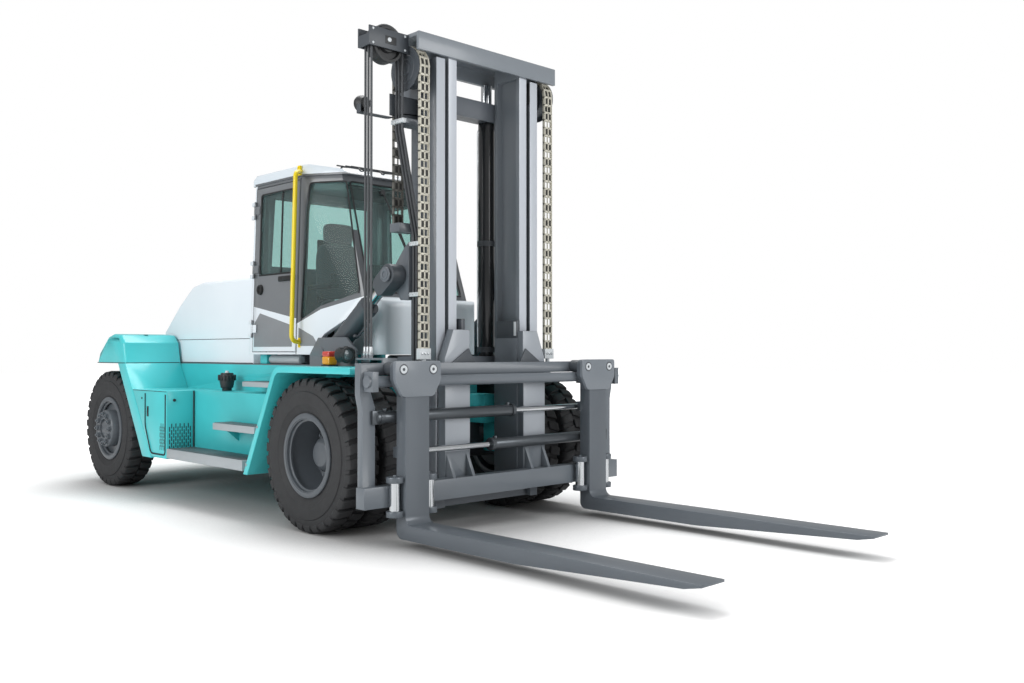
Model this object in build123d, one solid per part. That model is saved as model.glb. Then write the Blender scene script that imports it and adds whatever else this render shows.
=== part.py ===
"""Heavy counterbalanced forklift truck with a battery drive, split into its real pieces.

All lengths are in mm. The pieces are drawn with x = 0 at the front axle, x forwards,
y to the left and z up from the floor, and put() moves them so that the middle of the
overall length lies at x = 0.
"""
from build123d import *
import os
from math import atan2, cos, degrees, hypot, radians, sin

os.makedirs("parts", exist_ok=True)

# overall
WHEELBASE = 3877
REAR_OVERHANG = 823            # rear axle to the back of the counterweight
FORK_FACE_X = 1012.5           # front face of the fork shanks
FORK_LENGTH = 2561
BODY_HALF_W = 1345             # outer faces of fenders, boxes and steps

# tyres and rims
TYRE_R = 610
TYRE_W = 300
TREAD_W = 272
BEAD_R = 300
RIM_FLANGE_R = 332
RIM_W = 264
RIM_FLANGE_T = 14
RIM_BARREL_T = 16
FRONT_OUTER_Y = 1176
FRONT_INNER_Y = 836
REAR_TYRE_Y = BODY_HALF_W - 190
RUN_FIT = 0.05                 # radial clearance of turning pins and shafts

# axles
FRONT_SPINDLE_R = 90
REAR_SPINDLE_R = 70
KINGPIN_Y = REAR_TYRE_Y - 135
KINGPIN_R = 45
STEER_END_R = 80
STEER_BEAM_HALF_H = 105

# mast
MAST_FRONT_X = 700
MAST_BACK_X = 380
OUTER_Y_IN = 479
OUTER_Y_OUT = 566
INNER_Y_IN = 354
INNER_Y_OUT = 439
FLANGE_T = 40
OUTER_WEB_T = 30
INNER_WEB_T = 30
MAST_BOTTOM_Z = 190
OUTER_TOP_Z = 3752
HEAD_HALF_W = 767
HEAD_Z0 = 3768
HEAD_Z1 = 3909
HEAD_FRONT_X = 726
PIVOT_X = 250
PIVOT_Z = 620
PIVOT_R = 50
LIFT_CYL_Y = 350
LIFT_CYL_X = 285
LIFT_CYL_R = 72
LIFT_ROD_R = 48
LIFT_BASE_Z = 1385
LIFT_TOP_Z = 3560
CHAIN_Y = 695
CHAIN_W = 96
CHAIN_T = 46
CHAIN_X = 700
CHAIN_BOTTOM_Z = 1450
SHEAVE_R = 142
SHEAVE_Z = 3650
CHAIN_ANCHOR_Z = 2450
HOSE_R = 12
HOSE_PULLEY_R = 140
HOSE_PULLEY_Y = -945
HOSE_PULLEY_Z = 3796
HOSE_X = 520
HOSE_CLAMP_Z = 3230
HOSE_BOTTOM_Z = 1412
HOSE_PLATE_Z = 1362              # clears the fender when the mast leans forwards

# tilt cylinders
TILT_Y = 720
TILT_BASE = (-505, 1420)
TILT_EYE = (340, 2040)
TILT_BARREL_R = 84
TILT_ROD_R = 45
TILT_PIN_R = 40
TILT_EYE_HOLE_R = 50
TILT_BARREL_L = 640

# carriage and forks
FORK_Y = 1005
FORK_W = 218
FORK_SHANK_T = 110
FORK_TOP_Z = 168
FORK_UNDER_Z = 60
SHAFT_X = 895
SHAFT_Z = 1207.5
SHAFT_R = 42
CARRIAGE_HALF_W = 1400
LOW_BEAM = (800, 900, 294, 447)
TOP_BEAM = (778, 840, 1250, 1340)
POSITIONER_X = 845
POSITIONER_Z = (946, 680)
POSITIONER_R = 45
POSITIONER_ROD_R = 24

# cab
CAB_REAR_X = -1790
CAB_PILLAR_X = -970
CAB_FLOOR_Z = 1400
CAB_TOP_Z = 2995
CAB_WALL = 46
CAB_GLASS_T = 8
CAB_LOW_Y = 800
CAB_HIGH_Y = 752
GLASS_LOW = (-240, 580)         # front corner of the glass at its sill
GLASS_LOW_Z = 1905
GLASS_HIGH = (-610, 560)        # front corner of the glass at the roof
DOOR_BACK_X = -1735
DOOR_GAP = 7
HINGE_Y = 790                   # hinge line at HINGE_Z, just outside the leaning side
HINGE_Z = 2200

# body
DECK_Z = 1310
HOOD_TOP_Z = 2145
HOOD_HALF_W = BODY_HALF_W - 625
HOOD_BEND_R = 160
HOOD_EDGE_R = 34
FENDER_BEND_R = 140
FENDER_EDGE_R = 36
NOSE_R = 90
ROOF_R = 36
TAIL_R = 60
FORK_HEEL_R = 60
HANGER_R = 44
WALL_Y = BODY_HALF_W - 285
SHELF_Z = 1050

AXLE_X = (WHEELBASE + REAR_OVERHANG - FORK_FACE_X - FORK_LENGTH) / 2
REAR_X = -WHEELBASE
TAIL_X = -WHEELBASE - REAR_OVERHANG


def box(x0, x1, y0, y1, z0, z1):
    return Pos((x0 + x1) / 2, (y0 + y1) / 2, (z0 + z1) / 2) * Box(x1 - x0, y1 - y0, z1 - z0)


def rod_x(x0, x1, y, z, r):
    return Pos((x0 + x1) / 2, y, z) * Rot(0, 90, 0) * Cylinder(r, x1 - x0)


def rod_y(y0, y1, x, z, r):
    return Pos(x, (y0 + y1) / 2, z) * Rot(90, 0, 0) * Cylinder(r, y1 - y0)


def rod_z(z0, z1, x, y, r):
    return Pos(x, y, (z0 + z1) / 2) * Cylinder(r, z1 - z0)


def slab_y(points, y0, y1):
    """Outline in the x-z plane made solid from y0 to y1."""
    plane = Plane(origin=(0, y1, 0), x_dir=(1, 0, 0), z_dir=(0, -1, 0))
    return extrude(plane * make_face(Polyline(*points, close=True)), amount=y1 - y0)


def slab_x(points, x0, x1):
    """Outline in the y-z plane made solid from x0 to x1."""
    plane = Plane(origin=(x0, 0, 0), x_dir=(0, 1, 0), z_dir=(1, 0, 0))
    return extrude(plane * make_face(Polyline(*points, close=True)), amount=x1 - x0)


def slab_z(points, z0, z1):
    """Outline in the x-y plane made solid from z0 to z1."""
    plane = Plane(origin=(0, 0, z0), x_dir=(1, 0, 0), z_dir=(0, 0, 1))
    return extrude(plane * make_face(Polyline(*points, close=True)), amount=z1 - z0)


def turned_y(profile):
    """Outline of (y, radius) pairs turned about the y axis."""
    face = make_face(Polyline(*[(r, y, 0) for y, r in profile], close=True))
    return revolve(face, Axis.Y)


def flip(shape):
    return mirror(shape, about=Plane.XZ)


def pair(shape):
    return [shape, flip(shape)]


def fuse(shapes):
    first, *rest = shapes
    return first.fuse(*rest) if rest else first


def pipe(points, r, bend):
    path = FilletPolyline(*points, radius=bend) if len(points) > 2 else Line(*points)
    start = Plane(origin=path @ 0, z_dir=path % 0)
    return sweep(start * Circle(r), path=path)


def round_edges(shape, radius, chosen):
    """Fillet the edges whose middle point and direction pass the test."""
    edges = [e for e in shape.edges() if chosen(e.position_at(0.5), e.tangent_at(0.5))]
    return fillet(edges, radius)


def along_y(direction):
    return abs(direction.Y) > 0.99


def put(name, *shapes):
    solids = [s for shape in shapes for s in shape.solids()]
    placed = [Pos(AXLE_X, 0, 0) * s for s in solids]
    export_step(placed[0] if len(placed) == 1 else Compound(children=placed), f"parts/{name}.step")


# tyres and wheels

def tyre(centre_y):
    half_w = TYRE_W / 2
    half_t = TREAD_W / 2
    half_b = RIM_W / 2 - RIM_FLANGE_T
    section = [
        (-half_b, BEAD_R), (half_b, BEAD_R), (half_b, RIM_FLANGE_R + 8), (half_w - 14, 372),
        (half_w, 450), (half_w - 4, 520), (half_t, TYRE_R - 34), (half_t - 22, TYRE_R - 6),
        (half_t - 70, TYRE_R), (-half_t + 70, TYRE_R), (-half_t + 22, TYRE_R - 6),
        (-half_t, TYRE_R - 34), (-half_w + 4, 520), (-half_w, 450), (-half_w + 14, 372),
        (-half_b, RIM_FLANGE_R + 8),
    ]
    return Pos(0, centre_y, 0) * turned_y(section)


def rim_barrel(centre_y):
    half = RIM_W / 2
    f = RIM_FLANGE_T
    inner = BEAD_R - RIM_BARREL_T
    section = [
        (-half, inner), (half, inner), (half, RIM_FLANGE_R), (half - f, RIM_FLANGE_R),
        (half - f, BEAD_R), (-half + f, BEAD_R), (-half + f, RIM_FLANGE_R), (-half, RIM_FLANGE_R),
    ]
    return Pos(0, centre_y, 0) * turned_y(section)


def twin_rim():
    mid = (FRONT_OUTER_Y + FRONT_INNER_Y) / 2
    inner = BEAD_R - RIM_BARREL_T
    spacer = turned_y([
        (FRONT_INNER_Y + RIM_W / 2 - 1, inner), (FRONT_OUTER_Y - RIM_W / 2 + 1, inner),
        (FRONT_OUTER_Y - RIM_W / 2 + 1, BEAD_R), (FRONT_INNER_Y + RIM_W / 2 - 1, BEAD_R),
    ])
    bore = FRONT_SPINDLE_R + RUN_FIT
    hub = turned_y([
        (mid - 14, bore), (mid + 120, bore), (mid + 120, 0), (mid + 178, 0), (mid + 178, 96),
        (mid + 150, 128), (mid + 60, 150), (mid + 16, 168), (mid + 16, inner + 2), (mid - 14, inner + 2),
    ])
    return fuse([rim_barrel(FRONT_OUTER_Y), rim_barrel(FRONT_INNER_Y), spacer, hub])


def steer_rim():
    y = REAR_TYRE_Y
    inner = BEAD_R - RIM_BARREL_T
    bore = REAR_SPINDLE_R + RUN_FIT
    hub = turned_y([
        (y + 36, bore), (y + 130, bore), (y + 130, 0), (y + 176, 0), (y + 176, 78), (y + 160, 98),
        (y + 120, 112), (y + 106, 150), (y + 84, 168), (y + 66, inner + 2), (y + 36, inner + 2),
    ])
    return fuse([rim_barrel(y), hub])


AT_FRONT = Pos(0, 0, TYRE_R)
AT_REAR = Pos(REAR_X, 0, TYRE_R)
front_tyres = [AT_FRONT * tyre(FRONT_OUTER_Y), AT_FRONT * tyre(FRONT_INNER_Y)]
front_rim = AT_FRONT * twin_rim()
rear_tyre = AT_REAR * tyre(REAR_TYRE_Y)
rear_rim = AT_REAR * steer_rim()
put("front_left_tyres", *front_tyres)
put("front_right_tyres", *[flip(t) for t in front_tyres])
put("front_left_rims", front_rim)
put("front_right_rims", flip(front_rim))
put("rear_left_tyre", rear_tyre)
put("rear_right_tyre", flip(rear_tyre))
put("rear_left_rim", rear_rim)
put("rear_right_rim", flip(rear_rim))


# axles

mid_y = (FRONT_OUTER_Y + FRONT_INNER_Y) / 2
drive_axle = fuse([
    rod_y(-mid_y + 24, mid_y - 24, 0, TYRE_R, 130),
    rod_y(-mid_y - 110, mid_y + 110, 0, TYRE_R, FRONT_SPINDLE_R),
    rod_y(-190, 190, 0, TYRE_R, 215),
    *pair(box(-120, 120, 300, 420, TYRE_R, 800)),
    *pair(rod_y(700, 930, 0, TYRE_R, 232)),
])
put("drive_axle", drive_axle)

steer_parts = [box(REAR_X - 150, REAR_X + 150, -430, 430, TYRE_R - 150, TYRE_R + 150)]
for side in (-1, 1):
    arm = box(REAR_X - STEER_END_R, REAR_X + STEER_END_R, min(side * 420, side * KINGPIN_Y),
              max(side * 420, side * KINGPIN_Y), TYRE_R - STEER_BEAM_HALF_H, TYRE_R + STEER_BEAM_HALF_H)
    end = rod_z(TYRE_R - STEER_BEAM_HALF_H, TYRE_R + STEER_BEAM_HALF_H, REAR_X, side * KINGPIN_Y, STEER_END_R)
    steer_parts += [arm, end]
steer_axle = fuse(steer_parts)
for side in (-1, 1):
    steer_axle = steer_axle - rod_z(0, 1300, REAR_X, side * KINGPIN_Y, KINGPIN_R + RUN_FIT)
put("steer_axle", steer_axle)

knuckle = fuse([
    rod_z(TYRE_R - 155, TYRE_R + 155, REAR_X, KINGPIN_Y, KINGPIN_R),
    box(REAR_X - 90, REAR_X + 90, KINGPIN_Y - 85, KINGPIN_Y + 150, TYRE_R + 112, TYRE_R + 155),
    box(REAR_X - 90, REAR_X + 90, KINGPIN_Y - 85, KINGPIN_Y + 150, TYRE_R - 155, TYRE_R - 112),
    box(REAR_X - 90, REAR_X + 90, KINGPIN_Y + 108, KINGPIN_Y + 150, TYRE_R - 155, TYRE_R + 155),
    rod_y(KINGPIN_Y + 148, REAR_TYRE_Y + 128, REAR_X, TYRE_R, REAR_SPINDLE_R),
])
put("steer_knuckle_left", knuckle)
put("steer_knuckle_right", flip(knuckle))


# frame and body

frame = fuse([
    *pair(box(REAR_X + 177, -700, 300, 420, 470, 1000)),
    *pair(box(-720, 320, 300, 480, 800, 1050)),
    *pair(box(168, 320, 425, 480, 545, 820)),
    *pair(rod_y(470, OUTER_Y_OUT + 8, PIVOT_X, PIVOT_Z, PIVOT_R - RUN_FIT)),
    box(-720, -640, -420, 420, 800, 1050),
    box(-60, 20, -420, 420, 830, 1050),
    box(REAR_X + 177, REAR_X + 277, -420, 420, 780, 1000),
    box(REAR_X + 757, -720, -WALL_Y, WALL_Y, 470, SHELF_Z),
    box(REAR_X + 577, -740, -WALL_Y + 310, WALL_Y - 310, SHELF_Z - 10, DECK_Z),
    box(REAR_X - 203, REAR_X + 677, -HOOD_HALF_W + 20, HOOD_HALF_W - 20, 1250, DECK_Z),
    box(REAR_X - 203, REAR_X + 277, -420, 420, 760, 1260),
    box(-760, 60, -840, 840, 1255, 1300),
    *pair(box(-720, 20, 300, 480, 1040, 1260)),
    *pair(slab_y([(-690, 1290), (-10, 1290), (-10, 1440), (-150, 1545), (-560, 1545), (-690, 1400)],
                 TILT_Y + 90, TILT_Y + 116)),
    *pair(slab_y([(-690, 1290), (-400, 1290), (-400, 1500), (-560, 1500), (-690, 1400)],
                 TILT_Y - 116, TILT_Y - 90)),
    *pair(rod_y(TILT_Y - 112, TILT_Y + 128, TILT_BASE[0], TILT_BASE[1], TILT_PIN_R)),
])
put("main_frame", frame)

TAIL_HALF_W = WALL_Y - 210
counterweight = fuse([
    box(TAIL_X, TAIL_X + 160, -TAIL_HALF_W, TAIL_HALF_W, 520, 1260),
    box(TAIL_X + 140, REAR_X - 203, -420, 420, 520, 1260),
    slab_y([(TAIL_X, 1250), (REAR_X - 203, 1250), (REAR_X - 203, 1560), (TAIL_X + 350, 1560),
            (TAIL_X + 180, 1400), (TAIL_X, 1400)], -TAIL_HALF_W, TAIL_HALF_W),
])
counterweight = round_edges(counterweight, TAIL_R, lambda p, d: abs(d.Z) > 0.99 and p.X < TAIL_X + 1)
counterweight = counterweight - rod_z(680, 1500, TAIL_X + 90, 0, 30)
counterweight = counterweight - box(TAIL_X - 10, TAIL_X + 190, -160, 160, 760, 880)
put("counterweight", counterweight)

FENDER_CAP = (
    # x from the rear axle, z
    (-163, DECK_Z),
    (-108, 1420),
    (117, 1585),
    (237, 1612),
    (407, 1600),
    (505, 1520),
    (555, DECK_Z),
)
FENDER_LEG = (
    # x from the rear axle, z
    (377, DECK_Z),
    (555, DECK_Z),
    (1177, 390),
    (972, 390),
)
fender_in = HOOD_HALF_W + 32
cap = slab_y([(REAR_X + dx, z) for dx, z in FENDER_CAP], fender_in, BODY_HALF_W)
cap = round_edges(cap, FENDER_EDGE_R, lambda p, d: along_y(d) and p.Z > DECK_Z + 10)
cap = round_edges(cap, FENDER_EDGE_R, lambda p, d: p.Y > BODY_HALF_W - 1 and p.Z > DECK_Z + 10)
leg = slab_y([(REAR_X + dx, z) for dx, z in FENDER_LEG], fender_in, BODY_HALF_W)
rear_fender = fuse([cap, leg]) - box(REAR_X + 752, REAR_X + 1277, HOOD_HALF_W - 20, WALL_Y, 300, SHELF_Z)
put("rear_fenders", *pair(rear_fender))

fender_line = [(-920, 385), (-430, 1305), (640, 1305), (640, 1255), (-400, 1255), (-850, 385)]
front_fender = slab_y(fender_line, TILT_Y + 122, BODY_HALF_W)
front_fender = round_edges(front_fender, FENDER_BEND_R, lambda p, d: along_y(d) and p.X == -430)
front_fender = round_edges(front_fender, FENDER_BEND_R - 50, lambda p, d: along_y(d) and p.X == -400)
front_fender = front_fender - box(-1000, -715, 800, WALL_Y, 300, SHELF_Z)
put("front_fenders", *pair(front_fender))

BOX_FRONT_X = REAR_X + 1507
box_outline = [(REAR_X + 1171, 400), (BOX_FRONT_X, 400), (BOX_FRONT_X, SHELF_Z), (REAR_X + 731, SHELF_Z)]
put("equipment_boxes", *pair(slab_y(box_outline, WALL_Y, BODY_HALF_W)))

STEPS = (
    # x0, x1, y0, y1, z0, z1
    (BOX_FRONT_X, -935, WALL_Y, BODY_HALF_W, 410, 500),
    (-1640, -900, WALL_Y, BODY_HALF_W - 95, 720, 780),
    (-1560, -820, WALL_Y - 310, WALL_Y - 60, 1105, 1150),
)
put("step_treads", *[s for row in STEPS for s in pair(box(*row))])

hood_outer = [(-1850, DECK_Z), (-1850, HOOD_TOP_Z), (REAR_X + 977, HOOD_TOP_Z), (REAR_X + 757, 2110),
              (REAR_X + 457, 1920), (REAR_X + 107, 1640), (REAR_X + 107, DECK_Z)]
hood_inner = [(-1890, DECK_Z - 1), (-1890, HOOD_TOP_Z - 40), (REAR_X + 987, HOOD_TOP_Z - 40),
              (REAR_X + 777, 2073), (REAR_X + 481, 1888), (REAR_X + 147, 1621), (REAR_X + 147, DECK_Z - 1)]
hood = slab_y(hood_outer, -HOOD_HALF_W, HOOD_HALF_W)
hood = round_edges(hood, HOOD_BEND_R, lambda p, d: along_y(d) and p.Z > 1700 and p.X < -1860)
hood = round_edges(hood, HOOD_EDGE_R,
                   lambda p, d: abs(p.Y) > HOOD_HALF_W - 1 and p.Z > DECK_Z + 10 and p.X < -1851)
hood = hood - slab_y(hood_inner, -HOOD_HALF_W + 40, HOOD_HALF_W - 40)
put("hood", hood)
put("battery_pack", box(REAR_X + 527, -1950, -HOOD_HALF_W + 80, HOOD_HALF_W - 80, DECK_Z, 1840))
filler_x = CAB_REAR_X - 240
filler_y = 160 - WALL_Y
filler = fuse([
    rod_z(SHELF_Z, SHELF_Z + 30, filler_x, filler_y, 45),
    Pos(filler_x, filler_y, SHELF_Z + 90) * Cone(58, 80, 124),
    rod_z(SHELF_Z + 150, SHELF_Z + 172, filler_x, filler_y, 60),
])
put("filler_cap", filler)


# cab

def beyond(p0, p1, p2, outward, inset):
    """Large block beyond the plane through three points, the plane moved inwards by inset."""
    along = Vector(*p1) - Vector(*p0)
    normal = along.cross(Vector(*p2) - Vector(*p0)).normalized()
    if normal.dot(Vector(*outward)) < 0:
        normal = normal * -1
    plane = Plane(origin=Vector(*p0) - normal * inset, x_dir=along, z_dir=normal)
    return plane * Pos(0, 0, 2000) * Box(9000, 9000, 4000)


def cab_volume(inset, z0, z1):
    """Space inside the cab's side, quarter, front and rear planes, all moved inwards by inset."""
    volume = box(CAB_REAR_X - 50, 100, -900, 900, z0, z1)
    cuts = [
        beyond((CAB_REAR_X, 0, CAB_FLOOR_Z), (CAB_REAR_X, 500, CAB_FLOOR_Z), (CAB_REAR_X + 40, 0, CAB_TOP_Z),
               (-1, 0, 0), inset),
        beyond((*GLASS_LOW, GLASS_LOW_Z), (GLASS_LOW[0], 0, GLASS_LOW_Z), (*GLASS_HIGH, CAB_TOP_Z),
               (1, 0, 0), inset),
    ]
    for side in (-1, 1):
        side_low = (CAB_PILLAR_X, side * CAB_LOW_Y, CAB_FLOOR_Z)
        side_high = (CAB_PILLAR_X, side * CAB_HIGH_Y, CAB_TOP_Z)
        low = (GLASS_LOW[0], side * GLASS_LOW[1], GLASS_LOW_Z)
        high = (GLASS_HIGH[0], side * GLASS_HIGH[1], CAB_TOP_Z)
        cuts.append(beyond(side_low, (CAB_REAR_X, *side_low[1:]), side_high, (0, side, 0), inset))
        cuts.append(beyond(side_high, low, high, (0, side, 0), inset))
    for cut in cuts:
        volume = volume - cut
    return volume


cab_outer = cab_volume(0, CAB_FLOOR_Z, CAB_TOP_Z)
cab_inner = cab_volume(CAB_WALL, CAB_FLOOR_Z + 50, CAB_TOP_Z + 20)
glass_shell = cab_volume(16, CAB_FLOOR_Z, CAB_TOP_Z)
glass_shell = glass_shell - cab_volume(16 + CAB_GLASS_T, CAB_FLOOR_Z - 5, CAB_TOP_Z + 5)
front_cut = slab_y([(-720, 1390), (-720, 1425), (-240, 1800), (-100, 1908), (300, 1908), (300, 1390)],
                   -900, 900)
nose_outer = box(-720, -50, -560, 560, CAB_FLOOR_Z, 1890)
nose = round_edges(nose_outer, NOSE_R, lambda p, d: p.X > -51 and p.Z > CAB_FLOOR_Z + 10)
nose = nose - box(-760, -90 - NOSE_R / 3, -490, 490, CAB_FLOOR_Z + 50, 1820)
shell = cab_outer - cab_inner - front_cut - nose_outer

DOOR_Z0 = CAB_FLOOR_Z + 20
DOOR_Z1 = CAB_TOP_Z - 25
door_space = pair(box(DOOR_BACK_X, CAB_PILLAR_X - 8, 640, 900, DOOR_Z0, DOOR_Z1))
door_block = box(DOOR_BACK_X + DOOR_GAP, CAB_PILLAR_X - 8 - DOOR_GAP, 640, 900,
                 DOOR_Z0 + DOOR_GAP, DOOR_Z1 - DOOR_GAP)
door_window = box(-1640, -1050, 600, 900, 2140, 2900)
quarter_window = slab_y([(-900, 1710), (-285, 1935), (-560, 2930), (-880, 2930)], 480, 900)
wind_window = slab_x([(-520, 1940), (520, 1940), (490, 2935), (-490, 2935)], -760, 0)
rear_window = slab_x([(-600, 2240), (600, 2240), (570, 2900), (-570, 2900)], CAB_REAR_X - 20, -1600)

SIDE_LEAN = degrees(atan2(CAB_LOW_Y - CAB_HIGH_Y, CAB_TOP_Z - CAB_FLOOR_Z))
hinge_line = Pos(DOOR_BACK_X + DOOR_GAP, HINGE_Y, HINGE_Z) * Rot(SIDE_LEAN, 0, 0)
HINGES = (-560, 0, 560)
door_hinges = []
shell_hinges = []
for dz in HINGES:
    door_hinges += [hinge_line * Pos(0, 0, dz) * Cylinder(11, 80),
                    hinge_line * Pos(40, -8, dz) * Box(80, 20, 72)]
    for end in (-1, 1):
        shell_hinges += [hinge_line * Pos(0, 0, dz + end * 63) * Cylinder(11, 40),
                         hinge_line * Pos(-32, -8, dz + end * 63) * Box(56, 20, 36)]
door = fuse([(cab_outer - cab_inner) & door_block, *door_hinges])
door_glass = glass_shell & door_window
door = door - door_window
for d in door_space:
    shell = shell - d
front_windows = [*pair(quarter_window), wind_window]
for w in [*front_windows, rear_window]:
    shell = shell - w
shell = fuse([shell, *shell_hinges, *[flip(h) for h in shell_hinges]])
put("cab_shell", shell)
put("cab_nose", nose)
put("cab_glass", *[glass_shell & w for w in [*front_windows, rear_window]])
put("door_left", door)
put("door_right", flip(door))
put("door_left_glass", door_glass)
put("door_right_glass", flip(door_glass))
roof = slab_y([(-1800, CAB_TOP_Z), (-1800, 3060), (-1740, 3100), (-890, 3100), (-600, 3040), (-540, CAB_TOP_Z)],
              -765, 765)
roof = round_edges(roof, ROOF_R, lambda p, d: abs(p.Y) > 764 and p.Z > CAB_TOP_Z + 10)
for side in (-1, 1):
    roof = roof - beyond((CAB_PILLAR_X, side * CAB_HIGH_Y, CAB_TOP_Z),
                         (GLASS_LOW[0], side * GLASS_LOW[1], GLASS_LOW_Z),
                         (GLASS_HIGH[0], side * GLASS_HIGH[1], CAB_TOP_Z), (0, side, 0), -15)
put("cab_roof", roof)
CAB_MOUNTS = (
    # x, y, z of the foot
    (-1700, WALL_Y - 420, DECK_Z),
    (-650, 420, 1300),
)
mounts = [m for x, y, z in CAB_MOUNTS for m in pair(box(x - 60, x + 60, y - 60, y + 60, z, CAB_FLOOR_Z))]
put("cab_mounts", *mounts)
seat = fuse([box(-1500, -960, -260, 260, 1780, 1930), box(-1560, -1420, -250, 250, 1880, 2520),
             box(-1420, -1080, -200, 200, CAB_FLOOR_Z + 50, 1800)])
put("operator_seat", seat)
column_top = Pos(-640, 0, 2060) * Rot(0, -35, 0)
console = fuse([
    slab_y([(-690, 1890), (-320, 1890), (-330, 1990), (-600, 1975)], -180, 180),
    column_top * Pos(0, 0, -80) * Cylinder(34, 200),
    column_top * Pos(0, 0, 10) * Torus(190, 16),
    column_top * Pos(0, 0, 6) * Box(370, 40, 18),
    column_top * Pos(0, 0, 6) * Cylinder(45, 30),
])
put("steering_console", console)

RAIL_X = -880
rail = fuse([
    pipe([(-912, 772, 1505), (RAIL_X, 900, 1520), (RAIL_X, 862, 3005), (-975, 745, 3045)], 20, 60),
])
put("handrails", *pair(rail - shell - roof))
lamp_y = TILT_Y + 116
lamp = fuse([rod_x(-120, -10, lamp_y + 70, 1400, 62), box(-90, -50, lamp_y, lamp_y + 40, 1370, 1430)])
put("front_lamps", *pair(lamp))
put("marker_lamps", *pair(box(-330, -230, 862, 950, 1305, 1425)))


# mast

def channel(y_in, y_out, web, x0, x1, z0, z1):
    """Upright with its open side inwards, on the left."""
    return fuse([
        box(x0, x1, y_out - web, y_out, z0, z1),
        box(x0, x0 + FLANGE_T, y_in, y_out, z0, z1),
        box(x1 - FLANGE_T, x1, y_in, y_out, z0, z1),
    ])


pivot_lug = box(180, MAST_BACK_X + 10, 485, 560, 545, 700) - rod_y(400, 700, PIVOT_X, PIVOT_Z, PIVOT_R)
eye_bracket = slab_y([(TILT_EYE[0] - 80, TILT_EYE[1] - 70), (TILT_EYE[0] + 10, TILT_EYE[1] - 200),
                      (455, TILT_EYE[1] - 200), (455, TILT_EYE[1] + 260), (TILT_EYE[0] + 60, TILT_EYE[1] + 220),
                      (TILT_EYE[0] - 80, TILT_EYE[1] + 70)], OUTER_Y_OUT - 4, TILT_Y - 68)
outer_mast = fuse([
    *pair(channel(OUTER_Y_IN, OUTER_Y_OUT, OUTER_WEB_T, MAST_BACK_X, MAST_FRONT_X, MAST_BOTTOM_Z, OUTER_TOP_Z)),
    *pair(pivot_lug),
    *pair(eye_bracket),
    *pair(rod_y(TILT_Y - 72, TILT_Y + 76, TILT_EYE[0], TILT_EYE[1], 36)),
    *pair(rod_y(TILT_Y + 70, TILT_Y + 82, TILT_EYE[0], TILT_EYE[1], 60)),
    box(200, MAST_BACK_X, -OUTER_Y_OUT, OUTER_Y_OUT, 1150, LIFT_BASE_Z),
    box(230, MAST_BACK_X, -OUTER_Y_OUT, OUTER_Y_OUT, 3430, 3590),
    *pair(box(330, 455, OUTER_Y_OUT - 4, CHAIN_Y + 50, CHAIN_ANCHOR_Z - 70, CHAIN_ANCHOR_Z)),
    box(420, 640, -OUTER_Y_OUT + 10, OUTER_Y_OUT - 10, MAST_BOTTOM_Z, MAST_BOTTOM_Z + 60),
])
for side in (-1, 1):
    outer_mast = outer_mast - rod_z(3300, 3700, LIFT_CYL_X, side * LIFT_CYL_Y, LIFT_CYL_R + 3)
barrel = rod_z(LIFT_BASE_Z, LIFT_TOP_Z, LIFT_CYL_X, LIFT_CYL_Y, LIFT_CYL_R)
barrel = barrel - rod_z(LIFT_BASE_Z + 40, LIFT_TOP_Z + 10, LIFT_CYL_X, LIFT_CYL_Y, LIFT_ROD_R + RUN_FIT)
put("lift_cylinder_barrels", *pair(barrel))
put("lift_cylinder_rods", *pair(rod_z(LIFT_BASE_Z + 60, HEAD_Z0, LIFT_CYL_X, LIFT_CYL_Y, LIFT_ROD_R)))

sheave_x = CHAIN_X - SHEAVE_R - CHAIN_T / 2
head_plate = box(HEAD_FRONT_X - 30, HEAD_FRONT_X, -HEAD_HALF_W, HEAD_HALF_W, HEAD_Z0, HEAD_Z1)
cheek = box(230, HEAD_FRONT_X - 10, -HEAD_HALF_W + 4, HEAD_HALF_W - 4, HEAD_Z0 + 4, HEAD_Z1)
cheek = cheek - box(270, HEAD_FRONT_X - 30, -HEAD_HALF_W - 10, HEAD_HALF_W + 10, HEAD_Z0 - 1, HEAD_Z1 - 30)
inner_mast = fuse([
    *pair(channel(INNER_Y_IN, INNER_Y_OUT, INNER_WEB_T, MAST_BACK_X + 4, MAST_FRONT_X - 4,
                  MAST_BOTTOM_Z + 70, HEAD_Z0 + 6)),
    head_plate, cheek,
    *pair(box(MAST_BACK_X + 4, MAST_FRONT_X - 4, INNER_Y_IN, INNER_Y_OUT, HEAD_Z0 - 2, HEAD_Z1 - 20)),
    *pair(rod_y(INNER_Y_OUT - 5, OUTER_Y_OUT - OUTER_WEB_T - 6, 540, 520, 115)),
    *pair(box(sheave_x - 90, sheave_x + 90, CHAIN_Y - 74, CHAIN_Y - 60, SHEAVE_Z - 80, HEAD_Z1 - 20)),
    *pair(rod_y(CHAIN_Y - 66, CHAIN_Y + 52, sheave_x, SHEAVE_Z, 40)),
])
put("inner_mast", inner_mast)
sheave = rod_y(CHAIN_Y - 50, CHAIN_Y + 50, sheave_x, SHEAVE_Z, SHEAVE_R)
sheave = sheave - rod_y(CHAIN_Y - 60, CHAIN_Y + 60, sheave_x, SHEAVE_Z, 40)
chain_front = box(CHAIN_X - CHAIN_T / 2, CHAIN_X + CHAIN_T / 2, CHAIN_Y - CHAIN_W / 2, CHAIN_Y + CHAIN_W / 2,
                  CHAIN_BOTTOM_Z, SHEAVE_Z)
back_x = sheave_x - SHEAVE_R - CHAIN_T / 2
chain_back = box(back_x - CHAIN_T / 2, back_x + CHAIN_T / 2, CHAIN_Y - CHAIN_W / 2, CHAIN_Y + CHAIN_W / 2,
                 CHAIN_ANCHOR_Z, SHEAVE_Z)
ring = rod_y(CHAIN_Y - CHAIN_W / 2, CHAIN_Y + CHAIN_W / 2, sheave_x, SHEAVE_Z, SHEAVE_R + CHAIN_T)
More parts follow.
